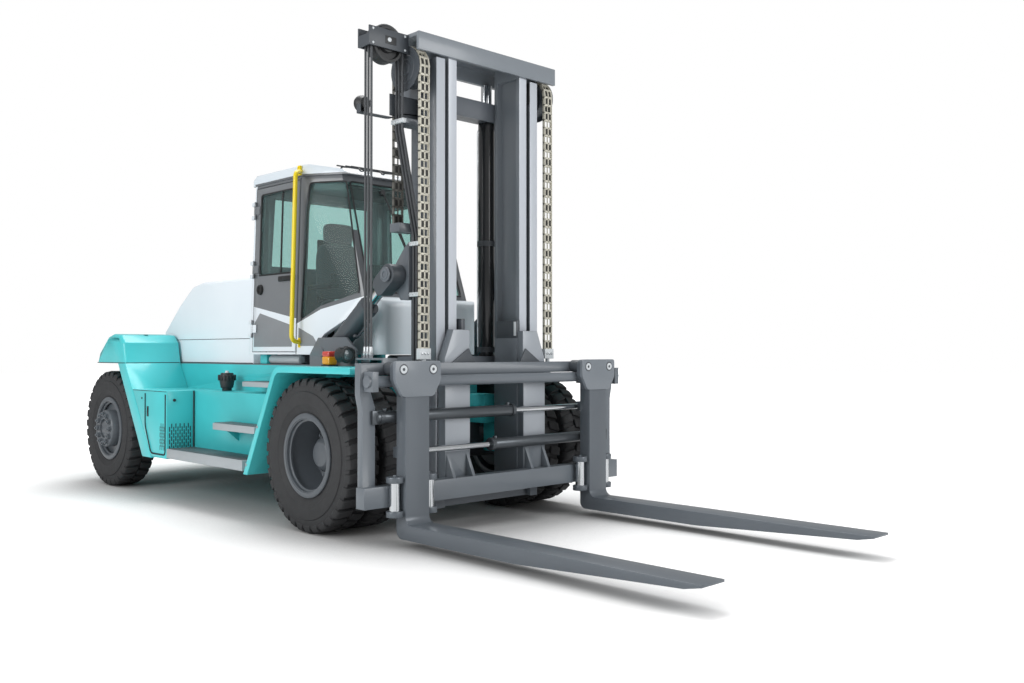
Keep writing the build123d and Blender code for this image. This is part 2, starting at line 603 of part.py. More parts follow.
ring = ring - rod_y(CHAIN_Y - 80, CHAIN_Y + 80, sheave_x, SHEAVE_Z, SHEAVE_R)
ring = ring & box(-100, 900, 0, 900, SHEAVE_Z, HEAD_Z1 + 200)
put("chain_sheaves", *pair(fuse([sheave, ring])))
put("chain_front_strands", *pair(chain_front))
put("chain_back_strands", *pair(chain_back))

bracket = fuse([
    box(HOSE_X + 62, HOSE_X + 76, -1140, 4 - HEAD_HALF_W, 3752, 3900),
    box(HOSE_X - 76, HOSE_X - 62, -1140, 4 - HEAD_HALF_W, 3752, 3900),
    box(HOSE_X - 76, HOSE_X + 76, -1140, -1124, 3752, 3840),
    rod_x(HOSE_X - 70, HOSE_X + 70, HOSE_PULLEY_Y, HOSE_PULLEY_Z, 22),
])
put("hose_pulley_bracket", bracket)
pulley = rod_x(HOSE_X - 54, HOSE_X + 54, HOSE_PULLEY_Y, HOSE_PULLEY_Z, HOSE_PULLEY_R)
pulley = pulley - rod_x(HOSE_X - 60, HOSE_X + 60, HOSE_PULLEY_Y, HOSE_PULLEY_Z, 22)
HOSE_ROWS = (-38, 0, 38)
WRAP_R = HOSE_PULLEY_R + HOSE_R - 4
drop_y = HOSE_PULLEY_Y - WRAP_R
rise_y = HOSE_PULLEY_Y + WRAP_R
arcs = []
drops = []
rises = []
runs = []
for dx in HOSE_ROWS:
    x = HOSE_X + dx
    loop = Pos(x, HOSE_PULLEY_Y, HOSE_PULLEY_Z) * Rot(0, 90, 0) * Torus(WRAP_R, HOSE_R)
    arcs.append(loop & box(x - 40, x + 40, -1200, -600, HOSE_PULLEY_Z, 4200))
    arcs += [rod_z(HOSE_PULLEY_Z - 60, HOSE_PULLEY_Z, x, y, HOSE_R) for y in (drop_y, rise_y)]
    drops.append(rod_z(HOSE_BOTTOM_Z, HOSE_PULLEY_Z - 60, x, drop_y, HOSE_R))
    rises.append(rod_z(HOSE_CLAMP_Z, HOSE_PULLEY_Z - 60, x, rise_y, HOSE_R))
    bends = [(x, rise_y, HOSE_CLAMP_Z), (x, rise_y, 3170), (x, -620, 2340), (x, -620, 1250)]
    runs.append(pipe(bends, HOSE_R, 120))
put("hose_pulley", fuse([pulley, *arcs]))
put("hose_drops", *drops)
put("hose_rises", *rises)
put("hose_runs", *runs)
CLAMPS = (
    # y of the hoses, z
    (rise_y, HOSE_CLAMP_Z),
    (-620, 2285),
    (-620, 1880),
)
clamps = [box(HOSE_X - 80, HOSE_X + 80, y + HOSE_R, 4 - OUTER_Y_OUT, z - 20, z + 20) for y, z in CLAMPS]
put("outer_mast", fuse([outer_mast, *clamps]))


# tilt cylinders

def along_tilt(shape, side):
    """Put a shape drawn along +z at the cylinder's lower pin onto the cylinder's line."""
    turn = degrees(atan2(TILT_EYE[0] - TILT_BASE[0], TILT_EYE[1] - TILT_BASE[1]))
    return Pos(TILT_BASE[0], side * TILT_Y, TILT_BASE[1]) * Rot(0, turn, 0) * shape


TILT_L = hypot(TILT_EYE[0] - TILT_BASE[0], TILT_EYE[1] - TILT_BASE[1])
tilt_barrel = fuse([
    Pos(0, 0, (90 + TILT_BARREL_L) / 2) * Cylinder(TILT_BARREL_R, TILT_BARREL_L - 90),
    Rot(90, 0, 0) * Cylinder(82, 150),
    Pos(0, 0, 60) * Box(110, 150, 90),
])
tilt_barrel = tilt_barrel - Rot(90, 0, 0) * Cylinder(TILT_PIN_R + RUN_FIT, 400)
tilt_barrel = tilt_barrel - Pos(0, 0, TILT_BARREL_L / 2 + 80) * Cylinder(TILT_ROD_R + RUN_FIT, TILT_BARREL_L)
tilt_rod = fuse([
    Pos(0, 0, (TILT_L - 60 + 360) / 2) * Cylinder(TILT_ROD_R, TILT_L - 60 - 360),
    Pos(0, 0, TILT_L) * Rot(90, 0, 0) * Cylinder(85, 118),
    Pos(0, 0, TILT_L - 85) * Box(104, 110, 90),
])
tilt_rod = tilt_rod - Pos(0, 0, TILT_L) * Rot(90, 0, 0) * Cylinder(TILT_EYE_HOLE_R, 400)
for name, side in (("left", 1), ("right", -1)):
    put(f"tilt_barrel_{name}", along_tilt(tilt_barrel, side))
    put(f"tilt_rod_{name}", along_tilt(tilt_rod, side))


# carriage and forks

column = slab_x([(1262, 440), (1372, 440), (1372, 1000), (1396, 1110), (1396, 1340), (1300, 1340), (1300, 1130),
                 (1262, 1020)], TOP_BEAM[0], TOP_BEAM[1])
upright = slab_x([(300, 330), (560, 330), (560, 1370), (470, 1600), (300, 1600)], 716, 792)
carriage = fuse([
    box(LOW_BEAM[0], LOW_BEAM[1], -CARRIAGE_HALF_W, CARRIAGE_HALF_W, LOW_BEAM[2], LOW_BEAM[3]),
    box(TOP_BEAM[0], TOP_BEAM[1], -1360, 1360, TOP_BEAM[2], TOP_BEAM[3]),
    rod_y(-1382, 1382, SHAFT_X, SHAFT_Z, SHAFT_R),
    *pair(column),
    *pair(box(TOP_BEAM[0], 950, 1312, 1362, 1135, 1280)),
    *pair(upright),
    *pair(box(780, 797, 300, 560, 330, 1330)),
    *pair(box(460, 730, 290, 330, 380, 1540)),
    *pair(rod_y(325, INNER_Y_OUT - INNER_WEB_T - 6, 540, 480, 110)),
    *pair(rod_y(325, INNER_Y_OUT - INNER_WEB_T - 6, 540, 1420, 110)),
    *pair(box(660, 800, CHAIN_Y - 60, CHAIN_Y + 60, 1262, 1300)),
    *[slab_y([(790, 440), (885, 440), (790, 640)], y - 14, y + 14) for y in (-530, -330, 330, 530)],
    box(460, 800, -1160, -1030, HOSE_PLATE_Z, HOSE_PLATE_Z + 15),
    box(782, 800, -1160, -1030, TOP_BEAM[3] - 10, HOSE_PLATE_Z + 15),
    *[rod_z(HOSE_PLATE_Z + 13, HOSE_BOTTOM_Z, HOSE_X + dx, drop_y, 16) for dx in HOSE_ROWS],
])
put("carriage_frame", carriage)
anchor = fuse([rod_z(1300, 1372, CHAIN_X, CHAIN_Y, 18),
               box(CHAIN_X - 24, CHAIN_X + 24, CHAIN_Y - 54, CHAIN_Y + 54, 1365, CHAIN_BOTTOM_Z)])
put("chain_anchors", *pair(anchor))
POSITIONERS = (
    # side of the fork that the rod moves, z
    (1, POSITIONER_Z[0]),
    (-1, POSITIONER_Z[1]),
)
positioner_barrels = []
for side, z in POSITIONERS:
    tube = rod_y(-1266, 120, POSITIONER_X, z, POSITIONER_R)
    tube = tube - rod_y(-1230, 200, POSITIONER_X, z, POSITIONER_ROD_R + RUN_FIT)
    tube = fuse([tube, box(POSITIONER_X - 60, POSITIONER_X + 20, -1300, -1240, z - 50, z + 50)])
    positioner_barrels.append(tube if side > 0 else flip(tube))
columns = fuse(pair(box(700, TOP_BEAM[1], 1262, 1400, 300, 1400)))
put("positioner_barrels", *[tube - columns for tube in positioner_barrels])

hanger = [(-210, 1356), (-210, 1215), (-140, 1100), (140, 1100), (210, 1215), (210, 1356)]


def fork(side):
    y = side * FORK_Y
    back_x = FORK_FACE_X - FORK_SHANK_T
    tip_x = FORK_FACE_X + FORK_LENGTH
    half = FORK_W / 2
    z = POSITIONER_Z[1] if side < 0 else POSITIONER_Z[0]
    shape = slab_y([(back_x, 1180), (FORK_FACE_X, 1180), (FORK_FACE_X, FORK_TOP_Z), (tip_x, FORK_TOP_Z),
                    (tip_x, FORK_TOP_Z - 16), (tip_x - 120, FORK_TOP_Z - 40),
                    (FORK_FACE_X + 1100, FORK_UNDER_Z), (back_x, FORK_UNDER_Z)], y - half, y + half)
    shape = round_edges(shape, FORK_HEEL_R, lambda p, d: along_y(d) and p.X < FORK_FACE_X + 1 and p.Z < 400)
    eye = box(846, 960, y - 100, y + 100, 1150, 1264)
    plate = slab_x([(y + dy, dz) for dy, dz in hanger], 955, FORK_FACE_X)
    plate = round_edges(plate, HANGER_R, lambda p, d: abs(d.X) > 0.99 and p.Z > 1200)
    lug = box(POSITIONER_X - 34, back_x + 4, y - 70, y + 70, z - 40, z + 40)
    yokes = [box(back_x + 4, 990, y - 205, y + 205, z0, z1) for z0, z1 in ((228, 268), (476, 516))]
    whole = fuse([shape, eye, plate, lug, *yokes])
    whole = whole - rod_y(y - 300, y + 300, SHAFT_X, SHAFT_Z, SHAFT_R + RUN_FIT)
    return whole


for name, side in (("left", 1), ("right", -1)):
    y = side * FORK_Y
    put(f"fork_{name}", fork(side))
    rollers = [rod_z(268, 476, 947, y + dy, 40) for dy in (-160, 160)]
    z = POSITIONER_Z[0] if side > 0 else POSITIONER_Z[1]
    piston = rod_y(-500, FORK_Y - 70, POSITIONER_X, z, POSITIONER_ROD_R)
    put(f"fork_{name}_rollers", *rollers, piston if side > 0 else flip(piston))
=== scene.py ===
"""Looks of the heavy battery forklift truck: finishes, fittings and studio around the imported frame.

Sizes and places are in mm from the middle of the front axle on the floor, x forwards, y to the
left and z up, as in the part's own source. Form.piece moves them to the row frame in metres.
What both sides have is modelled on the left and mirrored.
"""
import logging
import math
from dataclasses import dataclass, replace
from enum import Enum
from typing import ClassVar, Iterable, Sequence

import bmesh
import bpy
from mathutils import Matrix, Vector


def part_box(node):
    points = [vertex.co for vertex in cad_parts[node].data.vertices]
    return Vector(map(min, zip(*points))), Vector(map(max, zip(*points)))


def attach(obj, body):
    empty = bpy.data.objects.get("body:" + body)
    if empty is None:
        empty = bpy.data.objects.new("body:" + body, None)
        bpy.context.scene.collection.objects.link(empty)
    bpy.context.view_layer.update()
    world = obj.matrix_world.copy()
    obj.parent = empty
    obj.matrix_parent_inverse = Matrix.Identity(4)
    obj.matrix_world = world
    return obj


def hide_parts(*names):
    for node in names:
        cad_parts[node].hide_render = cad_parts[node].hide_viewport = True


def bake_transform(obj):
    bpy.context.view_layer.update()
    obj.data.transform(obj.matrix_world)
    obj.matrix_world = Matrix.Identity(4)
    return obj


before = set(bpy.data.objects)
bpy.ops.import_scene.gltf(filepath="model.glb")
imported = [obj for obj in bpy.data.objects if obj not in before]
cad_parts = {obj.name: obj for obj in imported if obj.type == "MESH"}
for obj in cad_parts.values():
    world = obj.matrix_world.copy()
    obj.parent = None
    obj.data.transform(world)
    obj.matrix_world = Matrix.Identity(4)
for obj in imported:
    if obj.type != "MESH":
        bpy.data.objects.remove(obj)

LOG = logging.getLogger("forklift")
Point = tuple[float, float, float]
Plane = tuple[float, float, float, float]
Span = tuple[float, float]
Box = tuple[Span, Span, Span]
Outline = Sequence[Span]
Verts = list[bmesh.types.BMVert]
MM = 0.001
SIDES = (("left", 1), ("right", -1))
X_AXIS, Y_AXIS, Z_AXIS = (1, 0, 0), (0, 1, 0), (0, 0, 1)
AXLE_Z = 610.0
REAR_X = -3877.0


def axle_middle() -> float:
    """Return the row-frame x of the front axle in metres, from the front tyres' box."""
    low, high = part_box("front_left_tyres")
    return (low.x + high.x) / 2


AXLE_X = axle_middle()


def to_row(point: Point) -> Vector:
    """Turn mm from the front axle into row-frame metres."""
    return Vector(point) * MM + Vector((AXLE_X, 0.0, 0.0))


def plane(way: Point, through: Point) -> Plane:
    """Return the boundary where a second colour starts in a direction, through a place in mm."""
    return (*way, Vector(way).dot(to_row(through)))


def linear(colour: str) -> tuple[float, float, float, float]:
    """Turn an sRGB hex colour into linear RGBA.

    Args:
        colour: The colour as "#RRGGBB".

    Returns:
        The linear red, green, blue and an alpha of 1.
    """
    parts = [int(colour[i:i + 2], 16) / 255 for i in (1, 3, 5)]
    red, green, blue = [p / 12.92 if p <= 0.04045 else ((p + 0.055) / 1.055) ** 2.4 for p in parts]
    return red, green, blue, 1.0


def add_node(tree: bpy.types.NodeTree, kind: str, values: dict | None = None,
             links: dict | None = None, out: int | str = 0,
             **settings: object) -> bpy.types.NodeSocket | None:
    """Add one shader node.

    Args:
        tree: The node tree.
        kind: The node's type name after "ShaderNode".
        values: Input name or number to value.
        links: Input name or number to the output that feeds it.
        out: Name or number of the output to hand back.
        settings: Properties of the node.

    Returns:
        The chosen output, or None where the node has no outputs.
    """
    node = tree.nodes.new("ShaderNode" + kind)
    for key, value in settings.items():
        setattr(node, key, value)
    for key, value in (values or {}).items():
        node.inputs[key].default_value = value
    for key, output in (links or {}).items():
        tree.links.new(output, node.inputs[key])
    return node.outputs[out] if node.outputs else None


class Pattern(Enum):
    """How the fine surface of a finish was made."""

    GRAIN = "sprayed, cast or moulded grain"
    BRUSHED = "fine lines along one axis"
    WOVEN = "crossing threads"
    HOLES = "rows of round holes"
    RIBS = "moulded ribs of a lens"


@dataclass(frozen=True)
class Finish:
    """One real material: its colour, gloss and fine surface."""

    name: str
    slot: str
    colour: str
    shade: str                      # colour of the faint patches, from handling and dust
    roughness: float
    metallic: float = 0.0
    coat: float = 0.0
    patch_mm: float = 700.0
    grain_mm: float = 8.0
    relief_mm: float = 0.05
    pattern: Pattern = Pattern.GRAIN
    second: str = ""                # colour beyond all the split planes
    split: tuple[Plane, ...] = ()   # each a direction and how far along it
    lining: str = ""                # colour of the faces that look towards lining_centre
    lining_centre: Point = (0.0, 0.0, 0.0)
    sheen: float = 0.0
    glow: float = 0.0
    tint: str = ""                  # colour of what is seen through it
    alpha: float = 1.0              # how much of a tinted finish hides what is behind

    HOLE_DARK: ClassVar[str] = "#16181A"
    HOLE_RADIUS: ClassVar[float] = 0.33             # in a grid of 1
    GLOSS_PATCH: ClassVar[float] = 0.22             # of the colour's patches
    GLOSS_RANGE: ClassVar[Span] = (0.88, 1.16)
    BRUSH_STRETCH: ClassVar[Point] = (1.0, 0.04, 1.0)
    BANDS_PER_UNIT: ClassVar[float] = 20 / math.tau  # of the wave node at a scale of 1

    def like(self, name: str, slot: str, colour: str, shade: str, **changes: object) -> "Finish":
        """Return a finish with this one's surface in other colours, and with some changes."""
        return replace(self, name=name, slot=slot, colour=colour, shade=shade, **changes)

    def material(self) -> bpy.types.Material:
        """Return this finish's material, made once."""
        if self.name in bpy.data.materials:
            return bpy.data.materials[self.name]
        material = bpy.data.materials.new(self.name)
        material.use_nodes = True
        tree = material.node_tree
        tree.nodes.clear()
        place = add_node(tree, "TexCoord", out="Object")
        height = self._height(tree, place)
        bump = add_node(tree, "Bump", {"Strength": 0.7, "Distance": self.relief_mm * MM},
                        {"Height": height}, invert=self.pattern is Pattern.HOLES)
        gloss = add_node(tree, "TexNoise", {"Scale": 1 / (self.patch_mm * self.GLOSS_PATCH * MM),
                                            "Detail": 4.0}, {"Vector": place})
        low, high = [min(self.roughness * share, 1.0) for share in self.GLOSS_RANGE]
        rough = add_node(tree, "MapRange", {"To Min": low, "To Max": high}, {"Value": gloss})
        values = {"Metallic": self.metallic, "Coat Weight": self.coat, "Coat Roughness": 0.12,
                  "Sheen Weight": self.sheen}
        if self.glow:
            values |= {"Emission Color": linear(self.colour), "Emission Strength": self.glow}
        colour = self._colour(tree, place, height)
        surface = add_node(tree, "BsdfPrincipled", values,
                           {"Base Color": colour, "Roughness": rough, "Normal": bump})
        if self.tint:
            clear = add_node(tree, "BsdfTransparent", {"Color": linear(self.tint)})
            surface = add_node(tree, "MixShader", {0: self.alpha}, {1: clear, 2: surface})
        add_node(tree, "OutputMaterial", links={"Surface": surface})
        return material

    def _colour(self, tree: bpy.types.NodeTree, place: bpy.types.NodeSocket,
                height: bpy.types.NodeSocket) -> bpy.types.NodeSocket:
        """Build the colour with its patches, its second colour, its lining and its holes.

        Args:
            tree: The material's node tree.
            place: The place on the object.
            height: The pattern's height.

        Returns:
            The colour output.
        """
        layers = []                 # where each further colour lies, and the colour
        if self.second:
            parts = []
            for *way, far in self.split:
                reach = add_node(tree, "VectorMath", {1: way}, {0: place}, "Value",
                                 operation="DOT_PRODUCT")
                parts.append(add_node(tree, "Math", {1: far}, {0: reach}, operation="GREATER_THAN"))
            beyond = parts[0]
            for part in parts[1:]:
                beyond = add_node(tree, "Math", {}, {0: beyond, 1: part}, operation="MULTIPLY")
            layers.append((beyond, self.second))
        if self.lining:
            normal = add_node(tree, "TexCoord", out="Normal")
            arm = add_node(tree, "VectorMath", {1: self.lining_centre}, {0: place},
                           operation="SUBTRACT")
            facing = add_node(tree, "VectorMath", {}, {0: arm, 1: normal}, "Value",
                              operation="DOT_PRODUCT")
            inside = add_node(tree, "Math", {1: 0.0}, {0: facing}, operation="LESS_THAN")
            layers.append((inside, self.lining))
        if self.pattern is Pattern.HOLES:
            layers.append((height, self.HOLE_DARK))
        patches = add_node(tree, "TexNoise", {"Scale": 1 / (self.patch_mm * MM), "Detail": 5.0},
                           {"Vector": place})
        colour = add_node(tree, "Mix", {6: linear(self.colour), 7: linear(self.shade)},
                          {0: patches}, 2, data_type="RGBA")
        for where, over in layers:
            colour = add_node(tree, "Mix", {7: linear(over)}, {0: where, 6: colour}, 2,
                              data_type="RGBA")
        return colour

    def _height(self, tree: bpy.types.NodeTree,
                place: bpy.types.NodeSocket) -> bpy.types.NodeSocket:
        """Build the height of the fine surface pattern.

        Args:
            tree: The material's node tree.
            place: The place on the object.

        Returns:
            The height output, 0 to 1.
        """
        period = self.grain_mm * MM
        if self.pattern in (Pattern.WOVEN, Pattern.RIBS):
            axes = "Z" if self.pattern is Pattern.RIBS else "ZXY"
            bands = [add_node(tree, "TexWave", {"Scale": 1 / (self.BANDS_PER_UNIT * period)},
                              {"Vector": place}, "Fac", bands_direction=axis) for axis in axes]
            if self.pattern is Pattern.RIBS:
                return bands[0]
            pair = add_node(tree, "Math", {}, {0: bands[1], 1: bands[2]}, operation="MULTIPLY")
            return add_node(tree, "Math", {}, {0: pair, 1: bands[0]}, operation="ADD")
        if self.pattern is Pattern.HOLES:
            cells = add_node(tree, "VectorMath", {1: (1 / period, 1 / period, 0.0)}, {0: place},
                             operation="MULTIPLY")
            cell = add_node(tree, "VectorMath", {}, {0: cells}, operation="FRACTION")
            away = add_node(tree, "VectorMath", {1: (0.5, 0.5, 0.0)}, {0: cell}, "Value",
                            operation="DISTANCE")
            return add_node(tree, "Math", {1: self.HOLE_RADIUS}, {0: away}, operation="LESS_THAN")
        if self.pattern is Pattern.BRUSHED:
            place = add_node(tree, "Mapping", {"Scale": self.BRUSH_STRETCH}, {"Vector": place})
        return add_node(tree, "TexNoise", {"Scale": 1 / period, "Detail": 3.0}, {"Vector": place})


# Two-pack enamel sprayed on sheet steel: clear highlights, slightly broken by orange peel, which
# is drawn at 9 mm so that it shows.
TURQUOISE = Finish("turquoise enamel on sheet steel", "body_turquoise", "#52D9DE", "#39B3B7", 0.34,
                   coat=0.3, grain_mm=9, relief_mm=0.12)
# The same on thicker plate, a little duller, with the tilt brackets above it in dark grey.
TURQUOISE_FRAME = TURQUOISE.like(
    "turquoise enamel with dark tilt brackets", "body_turquoise", "#4ED2D7", "#34A6AB",
    roughness=0.38, coat=0.2, second="#5F656B", split=(plane(Z_AXIS, (0, 0, 1300.5)),))
HOOD_WHITE = TURQUOISE.like("bluish white enamel", "hood_white", "#EAF1F7", "#DDE6ED",
                            roughness=0.33)
# The cab's outside is enamel, its inside a moulded lining that looks dull and dark.
CAB_MIDDLE = tuple(to_row((-1150, 0, 2200)))
NOSE_WHITE = TURQUOISE.like("cab nose enamel", "cab_white", "#DFE7ED", "#D3DCE3", relief_mm=0.1)
CAB_WHITE = NOSE_WHITE.like(
    "cab enamel, grey above the sweep", "cab_white", "#E3EAF0", "#D9E1E8", second="#63676B",
    split=(plane((-0.2945, 0.0, 0.9556), (-970, 0, 1675)), plane(X_AXIS, (-1726, 0, 0))),
    lining="#7C8186", lining_centre=CAB_MIDDLE)
ROOF_WHITE = NOSE_WHITE.like(
    "cab roof enamel with grey headlining", "cab_white", "#DAE3EA", "#D0DAE2", second="#63676B",
    split=(plane((0, 0, -1), (0, 0, 3012)), plane(X_AXIS, (-1742, 0, 0))),
    lining="#6C7176", lining_centre=tuple(to_row((-1150, 0, 2000))))
DOOR_GREY = NOSE_WHITE.like(
    "cab door, white below and grey above", "door_grey", "#E3EAF0", "#DAE2E9", roughness=0.3,
    relief_mm=0.08, second="#6E7276", split=(plane((0.169, 0.0, 0.9856), (-1750, 0, 1854)),),
    lining="#7C8186", lining_centre=CAB_MIDDLE)
# Primer and satin top coat on rolled sections: broad soft highlights, slightly uneven.
MAST_GREY = Finish("mid grey satin coat on rolled steel", "mast_grey", "#6F767D", "#646B72", 0.36,
                   coat=0.15, patch_mm=500, grain_mm=11, relief_mm=0.15)
# The uprights' front flanges get a second colour much lighter than the webs: a painted highlight
# where the front light falls on them.
FLANGE_HIGHLIGHT_PLANES = (plane(X_AXIS, (694.5, 0, 0)), plane((0, 0, -1), (0, 0, 3762)),
                plane(Z_AXIS, (0, 0, 460)))
# Pale grey as a painted highlight, also used for the carriage's front faces.
FLANGE_HIGHLIGHT_GREY = MAST_GREY.like("steel grey with painted highlight", "mast_grey", "#A4AAB1", "#9AA0A7",
                             roughness=0.34, relief_mm=0.12)
# The second colour beyond the flange planes is a painted highlight.
OUTER_GREY = FLANGE_HIGHLIGHT_GREY.like(
    "grey coat on mast uprights, pale front flanges", "mast_grey", "#666C73", "#5C6269",
    roughness=0.32, coat=0.2, second="#BBC1C9", split=FLANGE_HIGHLIGHT_PLANES)
INNER_GREY = OUTER_GREY.like("grey coat on inner uprights, pale front flanges", "mast_grey",
                             "#868D94", "#7A8188", second="#C0C6CE")
HANGER_GREY = MAST_GREY.like("grey coat on hanger plates", "mast_grey", "#7E858C", "#737A81",
                             roughness=0.34, patch_mm=420)
# Forged bars under the same coat: dark, with the hammered scale still felt in the highlights.
FORK_GREY = HANGER_GREY.like("grey coat on forged forks", "mast_grey", "#656C73", "#5A6168",
                             metallic=0.15, coat=0.1, grain_mm=14, relief_mm=0.2)
# Drawn tube under black gloss: one sharp bright line along each cylinder.
CYLINDER_BLACK = Finish("black gloss coat on lift cylinders", "frame_dark", "#2C2E31", "#27292B",
                        0.24, metallic=0.3, coat=0.3, patch_mm=400, relief_mm=0.03)
BARREL_GREY = Finish("dark satin coat on cylinder tubes", "frame_dark", "#5A5F64", "#505559", 0.3,
                     metallic=0.6, patch_mm=240, grain_mm=6)
# Brushed-on chassis paint, dull and even.
FRAME_DARK = Finish("dark grey chassis coat", "frame_dark", "#4B5157", "#42474D", 0.42,
                    grain_mm=10, relief_mm=0.15)
# Sand-cast iron: the paint stands on a coarse skin that scatters the light.
CAST_DARK = Finish("painted iron casting", "cast_dark", "#43484D", "#393D42", 0.5, patch_mm=300,
                   grain_mm=16, relief_mm=0.5)
# Pressed and machined wheel parts: a smooth coat, brighter where nuts and hubs are wiped.
RIM_GREY = Finish("grey coat on pressed rims", "rim_grey", "#585E64", "#4D5359", 0.36, coat=0.15,
                  patch_mm=300, relief_mm=0.1)
HUB_GREY = RIM_GREY.like("lighter grey coat on hubs and nuts", "rim_grey", "#666C72", "#5B6167",
                         roughness=0.38, patch_mm=200)
# Moulded rubber: matt, with a bloom of dust on the flanks.
TYRE_RUBBER = Finish("black tyre rubber", "tyre_black", "#28292B", "#323335", 0.7, patch_mm=260,
                     grain_mm=12, relief_mm=0.4)
# Extruded rubber, smoother than a tyre, so that a hose or bead has a faint highlight.
HOSE_RUBBER = Finish("black hose rubber", "hose_black", "#4B4E52", "#434649", 0.5, patch_mm=120,
                     grain_mm=5, relief_mm=0.2)
SEAL_RUBBER = HOSE_RUBBER.like("black window seal", "hose_black", "#1F2123", "#292B2D",
                               roughness=0.6, relief_mm=0.1)
# An open gap between panels: no highlight, only shadow.
SEAM_DARK = Finish("shadowed panel gap", "hose_black", "#2B3236", "#252B2F", 0.7, patch_mm=150,
                   grain_mm=6, relief_mm=0.1)
# Hard chrome, ground round: bright with faint rings.
CHROME = Finish("hard chromed steel", "chrome", "#D5D8DB", "#C6CACD", 0.14, metallic=1.0,
                patch_mm=200, grain_mm=3, relief_mm=0.02, pattern=Pattern.BRUSHED)
# Electroplated zinc: pale and silky, with a spangle of small patches.
ZINC = Finish("zinc plated steel", "step_alu", "#C9CDD0", "#B6BABD", 0.34, metallic=0.85,
              patch_mm=60, grain_mm=4)
# Stamped link plates: pale and yellowish under an oil film. The back strands are darker for grease
# and as painted shade, and the inner links dark for oil and as painted shade between the plates.
CHAIN_STEEL = Finish("oiled pale chain steel", "chain_steel", "#CFCCBF", "#B9B6A8", 0.4,
                     metallic=0.15, patch_mm=70, grain_mm=5, relief_mm=0.1)
CHAIN_SHADED = Finish("greased chain steel darkened as painted shade", "chain_steel", "#6A6964", "#5C5B57", 0.4,
                      metallic=0.2, patch_mm=60, grain_mm=4)
PIN_STEEL_SHADED = Finish("dark oiled inner links with painted shade", "cast_dark", "#2E2E2C", "#262624", 0.5, metallic=0.2,
                   patch_mm=60, grain_mm=5, relief_mm=0.1)
# Pressed plate with drain holes: rows of dark dots, drawn at 22 mm so that they show.
STEP_GRIP = Finish("perforated step plate", "step_alu", "#777D81", "#6C7276", 0.5, metallic=0.3,
                   patch_mm=200, grain_mm=22, relief_mm=1.0, pattern=Pattern.HOLES)
# Folded sheet edge, galvanised and worn: light and soft.
STEP_EDGE = Finish("light grey step edge", "step_alu", "#B1B8BC", "#A6ADB1", 0.42, metallic=0.2,
                   patch_mm=300, grain_mm=9, relief_mm=0.1)
# Float glass, tinted in the melt: sharp reflections, and a cool tone on all that is behind it.
GLASS = Finish("teal tinted safety glass", "glass_tint", "#A9B0B1", "#A2AAAB", 0.06, patch_mm=900,
               grain_mm=60, relief_mm=0.0, tint="#E2F2F0", alpha=0.1)
# Baked powder on bent tube: full colour and a smooth, slightly pebbled gloss.
RAIL_YELLOW = Finish("yellow powder coat", "rail_yellow", "#F2D80C", "#E6CB0A", 0.34, coat=0.3,
                     patch_mm=200, grain_mm=6, relief_mm=0.1)
# Injection moulded from an etched tool: a fine matt leather grain.
BLACK_PLASTIC = Finish("black moulded plastic", "plastic_black", "#26282A", "#2D2F31", 0.5,
                       patch_mm=120, grain_mm=3, relief_mm=0.15)
GREY_PLASTIC = BLACK_PLASTIC.like("grey moulded plastic", "plastic_black", "#85898D", "#7B7F83",
                                  patch_mm=200)
HANDLE_BLACK = BLACK_PLASTIC.like("black handle plastic", "plastic_black", "#151617", "#1B1C1D",
                                  roughness=0.55, relief_mm=0.03)
# Woven upholstery: no highlight, a pale edge where the fibres catch the light. Threads at 9 mm.
SEAT_CLOTH = Finish("dark seat cloth", "seat_fabric", "#4D5053", "#434649", 0.85, patch_mm=120,
                    grain_mm=9, relief_mm=0.6, pattern=Pattern.WOVEN, sheen=0.3)
# Moulded lenses: glossy, ribbed inside so that they glow a little from within.
AMBER = Finish("amber lamp lens", "lamp_amber", "#E9A11E", "#DA8E17", 0.2, coat=0.6, patch_mm=60,
               grain_mm=9, relief_mm=0.6, pattern=Pattern.RIBS, glow=0.08)
RED_LENS = AMBER.like("red lamp lens", "lamp_amber", "#D2453C", "#BE3A32", glow=0.06)
CLEAR_LENS = AMBER.like("clear lamp lens", "chrome", "#6B7377", "#5D6569", roughness=0.16,
                        coat=0.5, metallic=0.3, grain_mm=14, glow=0.0)
# Lacquered sheet without print: flat and pale.
SIGN_BLANK = Finish("blank pale plate", "step_alu", "#DADFE2", "#CDD3D7", 0.4, patch_mm=90,
                    grain_mm=5)


